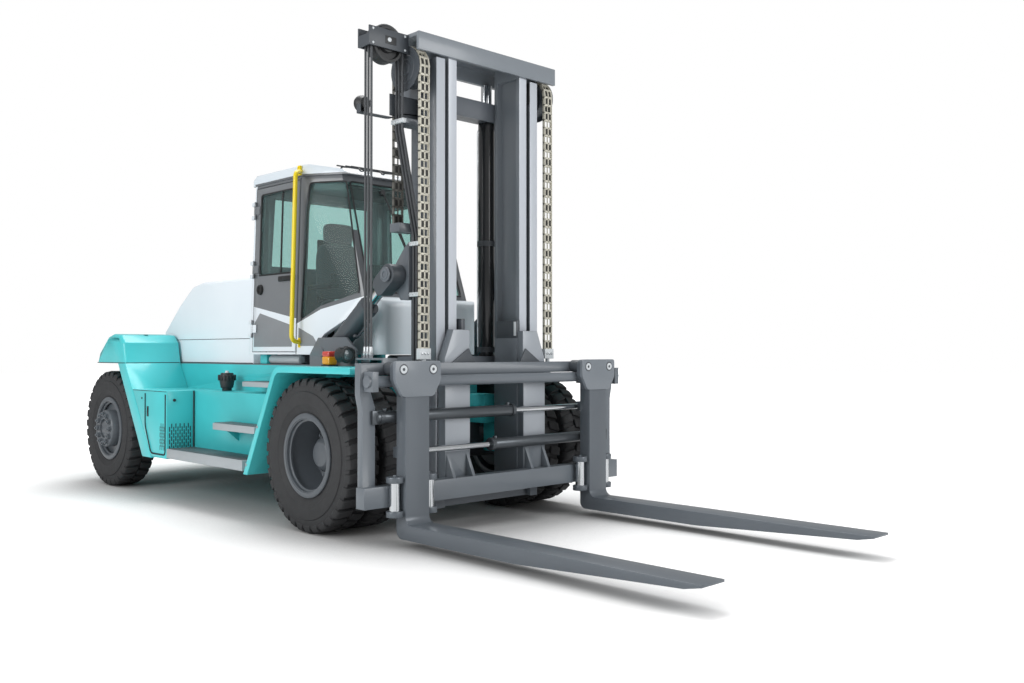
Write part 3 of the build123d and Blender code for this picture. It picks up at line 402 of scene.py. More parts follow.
class Form:
    """A mesh in the making, in mm from the front axle's middle on the floor."""

    def __init__(self, bm: bmesh.types.BMesh | None = None) -> None:
        """Start with a given mesh or an empty one."""
        self.bm = bm or bmesh.new()

    def _since(self, before: set) -> Verts:
        """Return the vertices that were made after the given ones."""
        return [v for v in self.bm.verts if v not in before]

    def soften(self, verts: Iterable[bmesh.types.BMVert], width: float, segments: int = 2,
               along: Point | None = None) -> None:
        """Bevel the sharp edges among some vertices.

        Args:
            verts: The vertices of the shape.
            width: The bevel's width.
            segments: How many facets it has.
            along: Only edges in this direction, where given.
        """
        chosen = set(verts)
        edges = [e for e in self.bm.edges if e.verts[0] in chosen and e.verts[1] in chosen
                 and e.calc_face_angle(0.0) > 0.5]
        if along:
            edges = [e for e in edges if abs((e.verts[1].co - e.verts[0].co).normalized()
                                             .dot(Vector(along))) > 0.99]
        bmesh.ops.bevel(self.bm, geom=edges, offset=width, offset_type="OFFSET", affect="EDGES",
                        segments=segments, profile=0.5, material=-1, clamp_overlap=True)

    def block(self, x: Span, y: Span, z: Span, bevel: float = 0.0, segments: int = 2,
              along: Point | None = None) -> Verts:
        """Add a box with softened edges.

        Args:
            x: Lowest and highest x.
            y: Lowest and highest y.
            z: Lowest and highest z.
            bevel: The width of its softened edges.
            segments: Facets of the bevel.
            along: Only edges in this direction are softened, where given.

        Returns:
            The box's vertices.
        """
        before = set(self.bm.verts)
        middle = Vector([(a + b) / 2 for a, b in (x, y, z)])
        size = Vector([abs(b - a) for a, b in (x, y, z)])
        made = bmesh.ops.create_cube(self.bm, size=1.0,
                                     matrix=Matrix.LocRotScale(middle, None, size))
        if bevel:
            self.soften(made["verts"], bevel, segments, along)
        return self._since(before)

    def drum(self, start: Point, end: Point, radius: float, end_radius: float | None = None,
             sides: int = 28, bevel: float = 0.0) -> Verts:
        """Add a round bar or a cone between two points.

        Args:
            start: Middle of the first end.
            end: Middle of the second end.
            radius: Radius of the first end.
            end_radius: Radius of the second end, the same where left out.
            sides: Facets round it.
            bevel: The width of its softened rims.

        Returns:
            The bar's vertices.
        """
        before = set(self.bm.verts)
        a, b = Vector(start), Vector(end)
        turn = (b - a).to_track_quat("Z", "Y").to_matrix().to_4x4()
        made = bmesh.ops.create_cone(
            self.bm, cap_ends=True, cap_tris=False, segments=sides, radius1=radius,
            radius2=radius if end_radius is None else end_radius, depth=(b - a).length,
            matrix=Matrix.Translation((a + b) / 2) @ turn)
        if bevel:
            self.soften(made["verts"], bevel)
        return self._since(before)

    def lathe(self, profile: Outline, centre: Point, axis: Point, steps: int = 72) -> Verts:
        """Spin a closed outline of (distance along the axis, radius) pairs.

        Args:
            profile: The outline's corners.
            centre: A point on the axis.
            axis: The axis.
            steps: Facets of the full turn.

        Returns:
            The vertices of the turned body.
        """
        before = set(self.bm.verts)
        way = Vector(axis).normalized()
        out = way.orthogonal().normalized()
        corners = [self.bm.verts.new(Vector(centre) + way * a + out * r) for a, r in profile]
        edges = [self.bm.edges.new(ends) for ends in zip(corners, corners[1:] + corners[:1])]
        bmesh.ops.spin(self.bm, geom=[*corners, *edges], cent=centre, axis=way, dvec=(0, 0, 0),
                       angle=math.tau, steps=steps, use_merge=True, use_duplicate=False)
        bmesh.ops.remove_doubles(self.bm, verts=self._since(before), dist=0.01)
        return self._since(before)

    def plate(self, outline: Sequence[Point], push: Point, bevel: float = 0.0,
              segments: int = 2) -> Verts:
        """Add a flat outline made solid.

        Args:
            outline: The corners in order.
            push: The thickness as a vector.
            bevel: The width of its softened edges.
            segments: Facets of the bevel.

        Returns:
            The plate's vertices.
        """
        before = set(self.bm.verts)
        face = self.bm.faces.new([self.bm.verts.new(p) for p in outline])
        made = bmesh.ops.extrude_face_region(self.bm, geom=[face])
        moved = [g for g in made["geom"] if isinstance(g, bmesh.types.BMVert)]
        bmesh.ops.translate(self.bm, vec=push, verts=moved)
        if bevel:
            faces = [f for f in self.bm.faces if f.verts[0] not in before]
            bmesh.ops.recalc_face_normals(self.bm, faces=faces)
            self.soften(self._since(before), bevel, segments)
        return self._since(before)

    def pipe(self, route: Sequence[Point], radius: float, sides: int = 12) -> Verts:
        """Add a round tube along a route.

        Args:
            route: Points along its middle.
            radius: Its radius.
            sides: Facets round it.

        Returns:
            The tube's vertices.
        """
        before = set(self.bm.verts)
        points = [Vector(p) for p in route]
        legs = [(b - a).normalized() for a, b in zip(points, points[1:])]
        ways = [legs[0], *[(a + b).normalized() for a, b in zip(legs, legs[1:])], legs[-1]]
        turn = ways[0].to_track_quat("Z", "Y").to_matrix().to_4x4()
        ring = bmesh.ops.create_circle(self.bm, cap_ends=True, segments=sides, radius=radius,
                                       matrix=Matrix.Translation(points[0]) @ turn)["verts"]
        edges = list({e for v in ring for e in v.link_edges if e.other_vert(v) in ring})
        for i in range(1, len(points)):
            made = bmesh.ops.extrude_edge_only(self.bm, edges=edges)["geom"]
            ring = [g for g in made if isinstance(g, bmesh.types.BMVert)]
            edges = [g for g in made if isinstance(g, bmesh.types.BMEdge)
                     and g.verts[0] in ring and g.verts[1] in ring]
            lean = ways[i - 1].rotation_difference(ways[i]).to_matrix().to_4x4()
            move = Matrix.Translation(points[i]) @ lean @ Matrix.Translation(-points[i - 1])
            bmesh.ops.transform(self.bm, matrix=move, verts=ring)
        bmesh.ops.contextual_create(self.bm, geom=edges)
        return self._since(before)

    def bead(self, corners: Sequence[Point], bend: float, radius: float) -> None:
        """Add a closed rubber bead round an opening's corners, where it bends from some way off."""
        self.pipe(rounded([*corners, *corners[:2]], bend), radius, sides=8)

    def repeat(self, verts: Verts, count: int, step: Point = (0, 0, 0), angle: float = 0.0,
               centre: Point = (0, 0, 0), axis: Point = Z_AXIS) -> None:
        """Copy a shape in a row or round an axis.

        Args:
            verts: The shape's vertices.
            count: How many there are in the end.
            step: The move from one to the next.
            angle: The turn from the first to the last, in radians.
            centre: A point on the turning axis.
            axis: The turning axis.
        """
        if count < 2:
            return
        chosen = set(verts)
        edges = [e for e in self.bm.edges if e.verts[0] in chosen and e.verts[1] in chosen]
        faces = [f for f in self.bm.faces if all(v in chosen for v in f.verts)]
        bmesh.ops.spin(self.bm, geom=[*verts, *edges, *faces], cent=centre, axis=axis, dvec=step,
                       angle=angle, steps=count - 1, use_duplicate=True)

    def ring(self, verts: Verts, count: int, centre: Point, axis: Point) -> None:
        """Copy a shape evenly round a full circle."""
        self.repeat(verts, count, angle=math.tau * (count - 1) / count, centre=centre, axis=axis)

    def bolt(self, foot: Point, way: Point, across: float, height: float) -> Verts:
        """Add a hexagon head on a washer.

        Args:
            foot: Where it sits.
            way: Where its head points.
            across: The head's width.
            height: The head's height.

        Returns:
            The bolt's vertices.
        """
        base, up = Vector(foot), Vector(way).normalized()
        washer = self.drum(base - up * 2, base + up * height * 0.2, across * 0.68, sides=16)
        head = self.drum(base, base + up * height, across * 0.56, sides=6, bevel=across * 0.05)
        return [*washer, *head]

    def mirror(self, keep: bool = True) -> None:
        """Mirror what is there so far to the other side.

        Args:
            keep: Whether the first side stays too.
        """
        verts = self.bm.verts
        if keep:
            geom = [*self.bm.verts, *self.bm.edges, *self.bm.faces]
            made = bmesh.ops.duplicate(self.bm, geom=geom)["geom"]
            verts = [g for g in made if isinstance(g, bmesh.types.BMVert)]
        bmesh.ops.scale(self.bm, vec=(1, -1, 1), verts=verts)

    def piece(self, name: str, finish: Finish, body: str | None, replaces: Sequence[str] = (),
              both: bool = False, sharp_deg: float = 38.0) -> bpy.types.Object:
        """Turn the form into a finished piece that rides on a body.

        Args:
            name: The piece's name.
            finish: What it is made of.
            body: The body that it moves with, or None for a piece that is attached to no body.
            replaces: The CAD nodes that it stands for.
            both: Whether its mirror image on the other side belongs to it.
            sharp_deg: Edges that bend more than this stay crisp.

        Returns:
            The piece's object.
        """
        bm = self.bm
        if both:
            self.mirror()
        bmesh.ops.recalc_face_normals(bm, faces=bm.faces)
        bmesh.ops.scale(bm, vec=(MM, MM, MM), verts=bm.verts)
        bmesh.ops.translate(bm, vec=(AXLE_X, 0.0, 0.0), verts=bm.verts)
        for face in bm.faces:
            face.smooth = True
        for edge in bm.edges:
            edge.smooth = edge.calc_face_angle(0.0) < math.radians(sharp_deg)
        label = name.replace(" ", "_")
        mesh = bpy.data.meshes.new(label)
        bm.to_mesh(mesh)
        bm.free()
        mesh.materials.append(finish.material())
        obj = bpy.data.objects.new(label, mesh)
        bpy.context.scene.collection.objects.link(obj)
        if body:
            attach(obj, body)
        if replaces:
            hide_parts(*replaces)
        LOG.info("%s: %d faces, rides on %s", name, len(mesh.polygons), body or "two bodies")
        return obj

    def pair(self, name: str, finish: Finish, body: str) -> None:
        """Make a piece on the left and its mirror image on the right.

        Args:
            name: The pieces' name, with {} for the side.
            finish: What they are made of.
            body: The bodies' name, with {} for the side.
        """
        right = Form(self.bm.copy())
        right.mirror(keep=False)
        for form, (side, _) in zip((self, right), SIDES):
            form.piece(name.format(side), finish, body.format(side))


def rounded(route: Sequence[Point], radius: float, steps: int = 6) -> list[Point]:
    """Round the corners of a route.

    Args:
        route: The corners and the two ends.
        radius: How far from a corner the bend starts.
        steps: Points in each bend.

    Returns:
        The points of the rounded route.
    """
    points = [Vector(p) for p in route]
    result = [points[0]]
    for before, corner, after in zip(points, points[1:], points[2:]):
        start = corner + (before - corner).normalized() * radius
        end = corner + (after - corner).normalized() * radius
        for i in range(steps + 1):
            t = i / steps
            result.append(start * (1 - t) ** 2 + corner * 2 * t * (1 - t) + end * t ** 2)
    return [tuple(p) for p in [*result, points[-1]]]


def dress_node(node_name: str, finish: Finish, edge_mm: float) -> None:
    """Give a CAD node its finish and softened edges.

    Args:
        node_name: The node.
        finish: What it is made of.
        edge_mm: The width of its softened edges, none where 0.
    """
    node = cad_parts[node_name]
    node.data.materials.clear()
    node.data.materials.append(finish.material())
    node.data.polygons.foreach_set("use_smooth", [True] * len(node.data.polygons))
    flat = math.radians(0.4)
    steps = [
        # name, kind, settings
        ("joined faces", "WELD", {"merge_threshold": 2e-6}),
        ("whole flats", "DECIMATE", {"decimate_type": "DISSOLVE", "angle_limit": flat}),
        ("softened edges", "BEVEL", {"width": edge_mm * MM, "segments": 2, "limit_method": "ANGLE",
                                     "angle_limit": math.radians(38), "miter_outer": "MITER_ARC"}),
        ("crisp edges", "EDGE_SPLIT", {"split_angle": math.radians(44)}),
    ]
    for name, kind, settings in steps:
        if kind == "BEVEL" and not edge_mm:
            continue
        modifier = node.modifiers.new(name, kind)
        for key, value in settings.items():
            setattr(modifier, key, value)
    LOG.info("%s: %s", node_name, finish.name)


class Assembly:
    """A sub-assembly: CAD nodes that are dressed and pieces that are added to them."""

    nodes: ClassVar[dict[str, tuple[Finish, float]]] = {}   # finish and softened edge in mm

    def dress(self) -> None:
        """Give the CAD nodes their finishes, on both sides where the name has a side."""
        for name, (finish, edge_mm) in self.nodes.items():
            for side, _ in SIDES if "{}" in name else SIDES[:1]:
                dress_node(name.format(side), finish, edge_mm)

    def build(self) -> None:
        """Add the sub-assembly's own pieces."""
        raise NotImplementedError


@dataclass
class Tyres(Assembly):
    """Industrial tyres: a smooth flank and two staggered rows of tread lugs."""

    front_rows: tuple[float, ...] = (1176.0, 836.0)
    rear_rows: tuple[float, ...] = (1155.0,)
    lug_count: int = 34
    lug_length: float = 72.0
    lug_lean: float = 0.22
    # half outlines from the tyre's middle, as offset and radius
    flank: Outline = ((118, 302), (118, 340), (132, 356), (140, 392), (147, 400), (150, 446),
                      (148, 500), (140, 506), (138, 548), (124, 580), (76, 584))
    lug: Outline = ((8, 570), (8, 608.5), (102, 607.5), (130, 598.5), (141, 574.5), (142, 546.5),
                    (130, 540))

    def build(self) -> None:
        """Model all six tyres in place of the plain CAD ones."""
        sets = (
            # piece, body, node, x, rows
            ("front {} treaded tyres", "front_{}_wheels", "front_{}_tyres", 0.0, self.front_rows),
            ("rear {} treaded tyre", "rear_{}_wheel", "rear_{}_tyre", REAR_X, self.rear_rows),
        )
        for side, sign in SIDES:
            for name, body, node, x, rows in sets:
                form = Form()
                for y in rows:
                    self._tyre(form, (x, sign * y, AXLE_Z))
                form.piece(name.format(side), TYRE_RUBBER, body.format(side), [node.format(side)],
                           sharp_deg=30)

    def _tyre(self, form: Form, centre: Point) -> None:
        """Add one tyre with its lugs.

        Args:
            form: The mesh to add to.
            centre: The tyre's middle.
        """
        x, y, z = centre
        form.lathe([*self.flank, *[(-a, r) for a, r in reversed(self.flank)]], centre, Y_AXIS, 102)
        around = Matrix.Translation(centre)
        for row, sign in enumerate((1, -1)):
            lug = form.plate([(x - self.lug_length / 2, y + sign * a, z + r) for a, r in self.lug],
                             (self.lug_length, 0, 0), bevel=4, segments=1)
            lean = Matrix.Identity(4)
            lean[0][1] = self.lug_lean * sign
            turn = Matrix.Rotation(row * math.pi / self.lug_count, 4, "Y")
            bmesh.ops.transform(form.bm, matrix=around @ turn @ lean @ around.inverted(), verts=lug)
            form.ring(lug, self.lug_count, centre, Y_AXIS)


@dataclass
class Rims(Assembly):
    """Wheel nuts, lock rings and valves on the pressed rims."""

    nodes = {"front_{}_rims": (RIM_GREY, 3), "rear_{}_rim": (RIM_GREY, 3)}
    nut: Span = (46.0, 30.0)                # across flats and height
    stud: Span = (12.0, 44.0)               # radius and length
    valve_ring: float = 262.0
    # profiles as distance from the face and radius
    rear_hub: Outline = ((-90, 100), (-90, 196), (-18, 196), (-4, 186), (0, 180), (0, 122),
                         (6, 114), (6, 100))
    lock_ring: Outline = ((0, 290), (6, 294), (7, 312), (2, 328), (0, 328))
    inner_ring: Outline = ((-30, 270), (-24, 284.5), (-50, 284.5), (-46, 270))

    def build(self) -> None:
        """Add the fittings of all wheels."""
        wheels = (
            # name, body, x, disc face, ring of nuts, nuts, rim face
            ("front {} wheel", "front_{}_wheels", 0.0, 1022.0, 226.0, 20, 1308.0),
            ("rear {} wheel", "rear_{}_wheel", REAR_X, 1332.0, 152.0, 12, 1287.0),
        )
        for wheel in wheels:
            self._fittings(*wheel)

    def _fittings(self, name: str, body: str, x: float, disc_y: float, nut_ring: float, nuts: int,
                  face_y: float) -> None:
        """Add the nuts, lock ring and valve of a pair of wheels.

        Args:
            name: The start of the pieces' names, with {} for the side.
            body: The wheels' bodies, with {} for the side.
            x: The axle's x.
            disc_y: The disc's outer face.
            nut_ring: Radius of the ring of nuts.
            nuts: How many nuts.
            face_y: The rim's outer face.
        """
        form = Form()
        centre = (x, disc_y, AXLE_Z)
        z = AXLE_Z + nut_ring
        nut = form.bolt((x, disc_y, z), Y_AXIS, *self.nut)
        radius, length = self.stud
        stud = form.drum((x, disc_y, z), (x, disc_y + length, z), radius, sides=12, bevel=2)
        form.ring([*nut, *stud], nuts, centre, Y_AXIS)
        if body.startswith("rear"):
            form.lathe(self.rear_hub, centre, Y_AXIS, steps=64)
        form.pair(f"{name} nuts", HUB_GREY, body)
        form = Form()
        for profile in (self.lock_ring, self.inner_ring):
            form.lathe(profile, (x, face_y, AXLE_Z), Y_AXIS, steps=96)
        form.pair(f"{name} lock ring", RIM_GREY, body)
        form = Form()
        x += self.valve_ring
        stem = [(x + 16, face_y - 150, AXLE_Z), (x, face_y - 90, AXLE_Z), (x, face_y - 40, AXLE_Z)]
        form.pipe(rounded(stem, 18), 7)
        form.drum((x, face_y - 44, AXLE_Z), (x, face_y - 20, AXLE_Z), 10, sides=14, bevel=2)
        form.pair(f"{name} valve", BLACK_PLASTIC, body)


@dataclass
class LeafChains(Assembly):
    """Two lift chains of pale link plates round inner links, dark for oil and as painted shade, over
    sheaves on the mast head.
    """

    lane_y: float = 695.0
    front_x: float = 700.0
    pitch: float = 66.0
    side_plate: Point = (44.5, 3.5, 12.5)   # offset, half thickness and half depth
    rung_half: float = 9.0
    # place across, and the widths in the two kinds of row
    columns: Sequence[tuple[float, Span]] = ((-38.0, (6.0, 7.0)), (0.0, (12.0, 8.0)),
                                             (38.0, (6.0, 7.0)))
    column_half: float = 4.0
    core_half: Span = (6.0, 41.0)
    sheave_radius: float = 142.0
    sheave_z: float = 3650.0
    thickness: float = 46.0
    bottom_z: float = 1450.0
    anchor_z: float = 2450.0
    # profiles as distance along the axle and radius
    sheave: Outline = ((-50, 42), (50, 42), (50, 70), (30, 76), (30, 120), (50, 126), (50, 141),
                       (46, 141), (-46, 141), (-50, 141), (-50, 126), (-30, 120), (-30, 76),
                       (-50, 70))
    guard: Outline = ((0, 2), (0, 176), (8, 176), (8, 150), (3, 144), (3, 112), (8, 106), (8, 78),
                      (3, 72), (3, 52), (10, 46), (10, 2))
    guard_offset: float = 52.0

    def build(self) -> None:
        """Model the strands, the sheaves and the chain over them."""
        sheave_x = self.front_x - self.sheave_radius - self.thickness / 2
        back_x = sheave_x - self.sheave_radius - self.thickness / 2
        runs = (
            # name, x, lower end, node, body below, finish
            ("front", self.front_x, self.bottom_z, "chain_front_strands", "carriage", CHAIN_STEEL),
            # the back run is darker, for grease and as painted shade
            ("back", back_x, self.anchor_z, "chain_back_strands", "mast", CHAIN_SHADED),
        )
        for name, x, low, node, below, finish in runs:
            links, core = Form(), Form()
            count = round((self.sheave_z - low) / self.pitch)
            pitch = (self.sheave_z - low) / count
            for first in (0, 1):
                rows = self._row(links, core, x, low + first * pitch, pitch, first)
                for form, row in rows:
                    form.repeat(row, (count - first + 1) // 2, (0, 0, 2 * pitch))
            pieces = [links.piece(f"{name} lift chain", finish, None, [node], both=True),
                      core.piece(f"{name} lift chain inner links", PIN_STEEL_SHADED, None, both=True)]
            for piece in pieces:
                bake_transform(piece)
        self._sheaves(sheave_x)

    def _row(self, links: Form, core: Form, x: float, z: float, pitch: float,
             kind: int) -> list[tuple[Form, Verts]]:
        """Add one pitch of chain: plates, rungs and columns, in every other row round inner links.

        Args:
            links: The mesh of the pale plates.
            core: The mesh of the inner links.
            x: The run's x.
            z: The lower end of the row.
            pitch: The row's height.
            kind: 0 and 1 in turn, for the two widths of link.

        Returns:
            The meshes with the vertices that were added to them.
        """
        y = self.lane_y
        offset, half, depth = self.side_plate
        deep, wide = self.core_half
        pale = []
        for side in (y - offset, y + offset):
            pale += links.block((x - depth, x + depth), (side - half, side + half),
                                (z - 6, z + pitch + 6), bevel=5, along=Y_AXIS)
        pale += links.block((x - depth, x + depth), (y - offset, y + offset),
                            (z - self.rung_half, z + self.rung_half), bevel=3)
        thick = self.column_half if kind else depth
        for across, widths in self.columns:
            middle, half = y + across, widths[kind] / 2
            pale += links.block((x - thick, x + thick), (middle - half, middle + half),
                                (z, z + pitch))
        if kind:
            return [(links, pale)]
        # the inner links are dark for oil and as painted shade between the plates
        inner = core.block((x - deep, x + deep), (y - wide, y + wide), (z, z + pitch))
        return [(links, pale), (core, inner)]

    def _sheaves(self, x: float) -> None:
        """Add the grooved wheels, the chain that lies over them and the guards beside it.

        Args:
            x: The sheaves' middle.
        """
        wheels, arcs, cores, guards = Form(), Form(), Form(), Form()
        radius = self.sheave_radius + self.thickness / 2
        steps = round(math.pi * radius / self.pitch)
        turn = math.pi / steps
        centre = (x, self.lane_y, self.sheave_z)
        place = Matrix.Translation(centre)
        wheels.lathe(self.sheave, centre, Y_AXIS)
        for first in (0, 1):
            swing = place @ Matrix.Rotation(-turn * (first + 0.5), 4, "Y") @ place.inverted()
            amount = (steps - first + 1) // 2
            low = self.sheave_z - self.pitch / 2
            for form, row in self._row(arcs, cores, x + radius, low, self.pitch, first):
                bmesh.ops.transform(form.bm, matrix=swing, verts=row)
                form.repeat(row, amount, angle=-2 * turn * (amount - 1), centre=centre, axis=Y_AXIS)
        guards.lathe(self.guard, (x, self.lane_y + self.guard_offset, self.sheave_z), Y_AXIS, 64)
        body = "inner_mast_body"
        wheels.piece("chain sheave wheels", FRAME_DARK, body, ["chain_sheaves"], both=True)
        arcs.piece("lift chain over sheaves", CHAIN_STEEL, body, both=True)
        cores.piece("lift chain inner links over sheaves", PIN_STEEL_SHADED, body, both=True)
        guards.piece("chain sheave guards", FRAME_DARK, body, both=True)


@dataclass
class Hoses(Assembly):
    """Three hydraulic hoses over the pulley beside the mast head, with clamps and end fittings."""

    nodes = {"hose_runs": (HOSE_RUBBER, 0), "hose_pulley_bracket": (FRAME_DARK, 3)}
    x: float = 520.0
    rows: tuple[float, ...] = (-38.0, 0.0, 38.0)
    radius: float = 9.5
    pulley_y: float = -945.0
    pulley_z: float = 3796.0
    wrap: float = 148.0
    joint_z: float = 3736.0
    clamp_z: float = 3230.0
    bottom_z: float = 1412.0
    run_y: float = -620.0
    run_clamps: tuple[float, ...] = (2285.0, 1880.0)
    steps: int = 24
    # profiles as distance along the axis and radius
    pulley: Outline = ((-54, 24), (54, 24), (54, 60), (26, 66), (26, 112), (54, 118), (54, 138),
                       (-54, 138), (-54, 118), (-26, 112), (-26, 66), (-54, 60))
    crimp: Outline = ((0, 6), (0, 15), (18, 15), (22, 18), (40, 18), (44, 14.5), (78, 14.5),
                      (84, 12.5), (84, 6))

    def build(self) -> None:
        """Model the pulley, the hoses and their fittings."""
        drop_y, rise_y = self.pulley_y - self.wrap, self.pulley_y + self.wrap
        pulley = Form()
        pulley.lathe(self.pulley, (self.x, self.pulley_y, self.pulley_z), X_AXIS)
        pulley.piece("hose pulley wheel", BLACK_PLASTIC, "inner_mast_body", ["hose_pulley"])
        turns = [math.pi * i / self.steps for i in range(self.steps + 1)]
        bend = [(self.pulley_y + self.wrap * math.cos(a), self.pulley_z + self.wrap * math.sin(a))
                for a in turns]
        arcs = Form()
        for dx in self.rows:
            arcs.pipe([(self.x + dx, y, z) for y, z in
                       ((rise_y, self.joint_z), *bend, (drop_y, self.joint_z))], self.radius)
        arcs.piece("hoses over pulley", HOSE_RUBBER, "inner_mast_body")
        lanes = (
            # name, y, lower end, node, body below
            ("hose drops", drop_y, self.bottom_z, "hose_drops", "carriage"),
            ("hose rises", rise_y, self.clamp_z, "hose_rises", "mast"),
        )
        for name, y, low, node, below in lanes:
            form = Form()
            rise = (self.joint_z - low) / self.steps
            for dx in self.rows:
                form.pipe([(self.x + dx, y, low + rise * i) for i in range(self.steps + 1)],
                          self.radius)
            piece = form.piece(name, HOSE_RUBBER, None, [node])
            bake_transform(piece)
        self._bracket()
        self._fittings(drop_y, rise_y)

    def _bracket(self) -> None:
        """Add the pin, its recess and the corner bolts on the pulley bracket's front plate."""
        face, y = self.x + 76, self.pulley_y
        recess = Form()
        recess.block((face - 2, face + 3), (y - 45, y + 60), (3790, 3850), bevel=2)
        recess.piece("pulley bracket recess", BLACK_PLASTIC, "inner_mast_body")
        pin = Form()
        pin.drum((face, y - 8, 3822), (face + 9, y - 8, 3822), 17, sides=24, bevel=2)
        for corner_y in (-1105, -800):
            for corner_z in (3772, 3880):
                pin.bolt((face, corner_y, corner_z), X_AXIS, 14, 6)
        pin.piece("pulley bracket pin and bolts", SIGN_BLANK, "inner_mast_body")

    def _fittings(self, drop_y: float, rise_y: float) -> None:
        """Add crimped ends on the carriage and white clamp bars on the mast.

        Args:
            drop_y: Where the hoses hang down.
            rise_y: Where they rise to the pulley.
        """
        ends = Form()
        for dx in self.rows:
            ends.lathe(self.crimp, (self.x + dx, drop_y, self.bottom_z - 34), Z_AXIS, steps=18)
        ends.piece("hose end fittings", ZINC, "carriage")
        bars = Form()
        for y, z in ((rise_y, self.clamp_z), *[(self.run_y, z) for z in self.run_clamps]):
            bars.block((self.x - 76, self.x + 76), (y - 26, y + 15), (z - 17, z + 17), bevel=4)
            for dx in (-57, -19, 19, 57):
                bars.bolt((self.x + dx, y - 26, z), (0, -1, 0), 11, 7)
        bars.piece("hose clamp bars", SIGN_BLANK, "mast")


@dataclass
class Mast(Assembly):
    """Uprights, cylinders and head of the two-stage mast."""

    nodes = {"outer_mast": (OUTER_GREY, 5), "inner_mast": (INNER_GREY, 5),
             "lift_cylinder_barrels": (CYLINDER_BLACK, 3), "lift_cylinder_rods": (CHROME, 0),
             "tilt_barrel_{}": (FRAME_DARK, 4), "tilt_rod_{}": (CHROME, 3)}
    bolt_place: Span = (382.0, 523.0)
    bolt_heights: tuple[float, ...] = (1500, 1900, 2300, 2700, 3100)
    pivot: Span = (250.0, 620.0)
    pad_y: Span = (473.0, 481.0)
    pad_z: Span = (3560.0, 3740.0)
    cylinder: Span = (285.0, 350.0)
    cylinder_top: float = 3560.0
    clamp_heights: tuple[float, ...] = (1420, 2350)
    tilt_base: Point = (-505.0, 720.0, 1420.0)
    tilt_eye: Point = (340.0, 720.0, 2040.0)
    tilt_ports: tuple[float, ...] = (350, 560)
    tilt_feed: Outline = ((560, 100), (525, 114), (385, 114), (350, 100))   # along, away
    eye_radius: float = 87.0
    eye_tail: Outline = ((160, 82), (204, 54), (204, -54), (160, -82))      # back, across
    eye_half: float = 61.0
    lamp: Point = (366.0, -1062.0, 3346.0)
    # profiles as distance along the axis and radius
    lift_gland: Outline = ((0, 74), (0, 84), (60, 84), (66, 76), (66, 50), (60, 50), (60, 74))
    lift_clamp: Outline = ((0, 72.5), (0, 80), (46, 80), (46, 72.5))
    tilt_gland: Outline = ((596, 84), (596, 87), (652, 87), (657, 82), (657, 47), (648, 47),
                           (648, 84))
    pin_ring: Outline = ((0, 26), (0, 40), (6, 38), (6, 28))
    lamp_case: Outline = ((0, 2), (0, 60), (18, 66), (44, 64), (62, 48), (80, 46), (84, 40),
                          (84, 2))
    lamp_lens: Outline = ((1, 0.5), (-5, 0.5), (-2, 40), (1, 54))

    def build(self) -> None:
        """Add the mast's fittings."""
        self._fasteners()
        self._cylinder_fittings()
        self._tilt_cylinders()
        self._side_lamp()

    def _fasteners(self) -> None:
        """Add bolts and pads that hold the mast together."""
        bolts = Form()
        for z in self.bolt_heights:
            bolts.bolt((*self.bolt_place, z), (-1, 0, 0), 22, 12)
        x, z = self.pivot
        bolts.drum((x, 560, z), (x, 580, z), 62, bevel=5)
        bolts.bolt((x, 580, z), Y_AXIS, 40, 14)
        bolts.piece("upright bolts", ZINC, "mast", both=True)
        pads = Form()
        for x in ((640, 698), (384, 430)):
            pads.block(x, self.pad_y, self.pad_z, bevel=2)
        pads.piece("mast slide pads", BLACK_PLASTIC, "mast", both=True)

    def _cylinder_fittings(self) -> None:
        """Add the gland rings, feed tubes and clamps of the lift cylinders."""
        glands = Form()
        x, y = self.cylinder
        glands.lathe(self.lift_gland, (x, y, self.cylinder_top - 62), Z_AXIS, steps=40)
        for z in self.clamp_heights:
            glands.lathe(self.lift_clamp, (x, y, z), Z_AXIS, steps=40)
        glands.piece("lift cylinder glands", CAST_DARK, "mast", both=True)
        tubes = Form()
        route = [(x - 64, y, 1450), (x - 102, y, 1460), (x - 102, y, 3380), (x - 70, y, 3420)]
        tubes.pipe(rounded(route, 24), 14)
        tubes.piece("lift cylinder feed tubes", ZINC, "mast", both=True)

    def _tilt_cylinders(self) -> None:
        """Add glands, ports, rod eyes and pin heads of the tilt cylinders."""
        base, eye = Vector(self.tilt_base), Vector(self.tilt_eye)
        way = (eye - base).normalized()
        down = Vector((way.z, 0, -way.x))
        form = Form()
        form.lathe(self.tilt_gland, base, way, steps=40)
        for along in self.tilt_ports:
            foot = base + way * along + down * 78
            form.drum(foot, foot + down * 28, 24, sides=20, bevel=3)
        form.pipe(rounded([base + way * a + down * out for a, out in self.tilt_feed], 20), 10)
        form.pair("tilt cylinder {} gland and ports", FRAME_DARK, "tilt_cylinder_{}")
        cap = Form()
        turns = [math.pi * i / 16 - math.pi / 2 for i in range(17)]
        nose = [(way * math.cos(a) - down * math.sin(a)) * self.eye_radius for a in turns]
        tail = [-way * back - down * across for back, across in self.eye_tail]
        corner = eye - Vector((0, self.eye_half, 0))
        cap.plate([corner + p for p in [*nose, *tail]], (0, 2 * self.eye_half, 0), bevel=5)
        cap.pair("tilt rod {} eye", FRAME_DARK, "tilt_piston_{}")
        pin = Form()
        face = eye + Vector((0, 82, 0))
        pin.lathe(self.pin_ring, face, Y_AXIS, steps=40)
        pin.bolt(face - way * 48, Y_AXIS, 16, 7)
        pin.pair("tilt pin {} head", MAST_GREY, "mast")

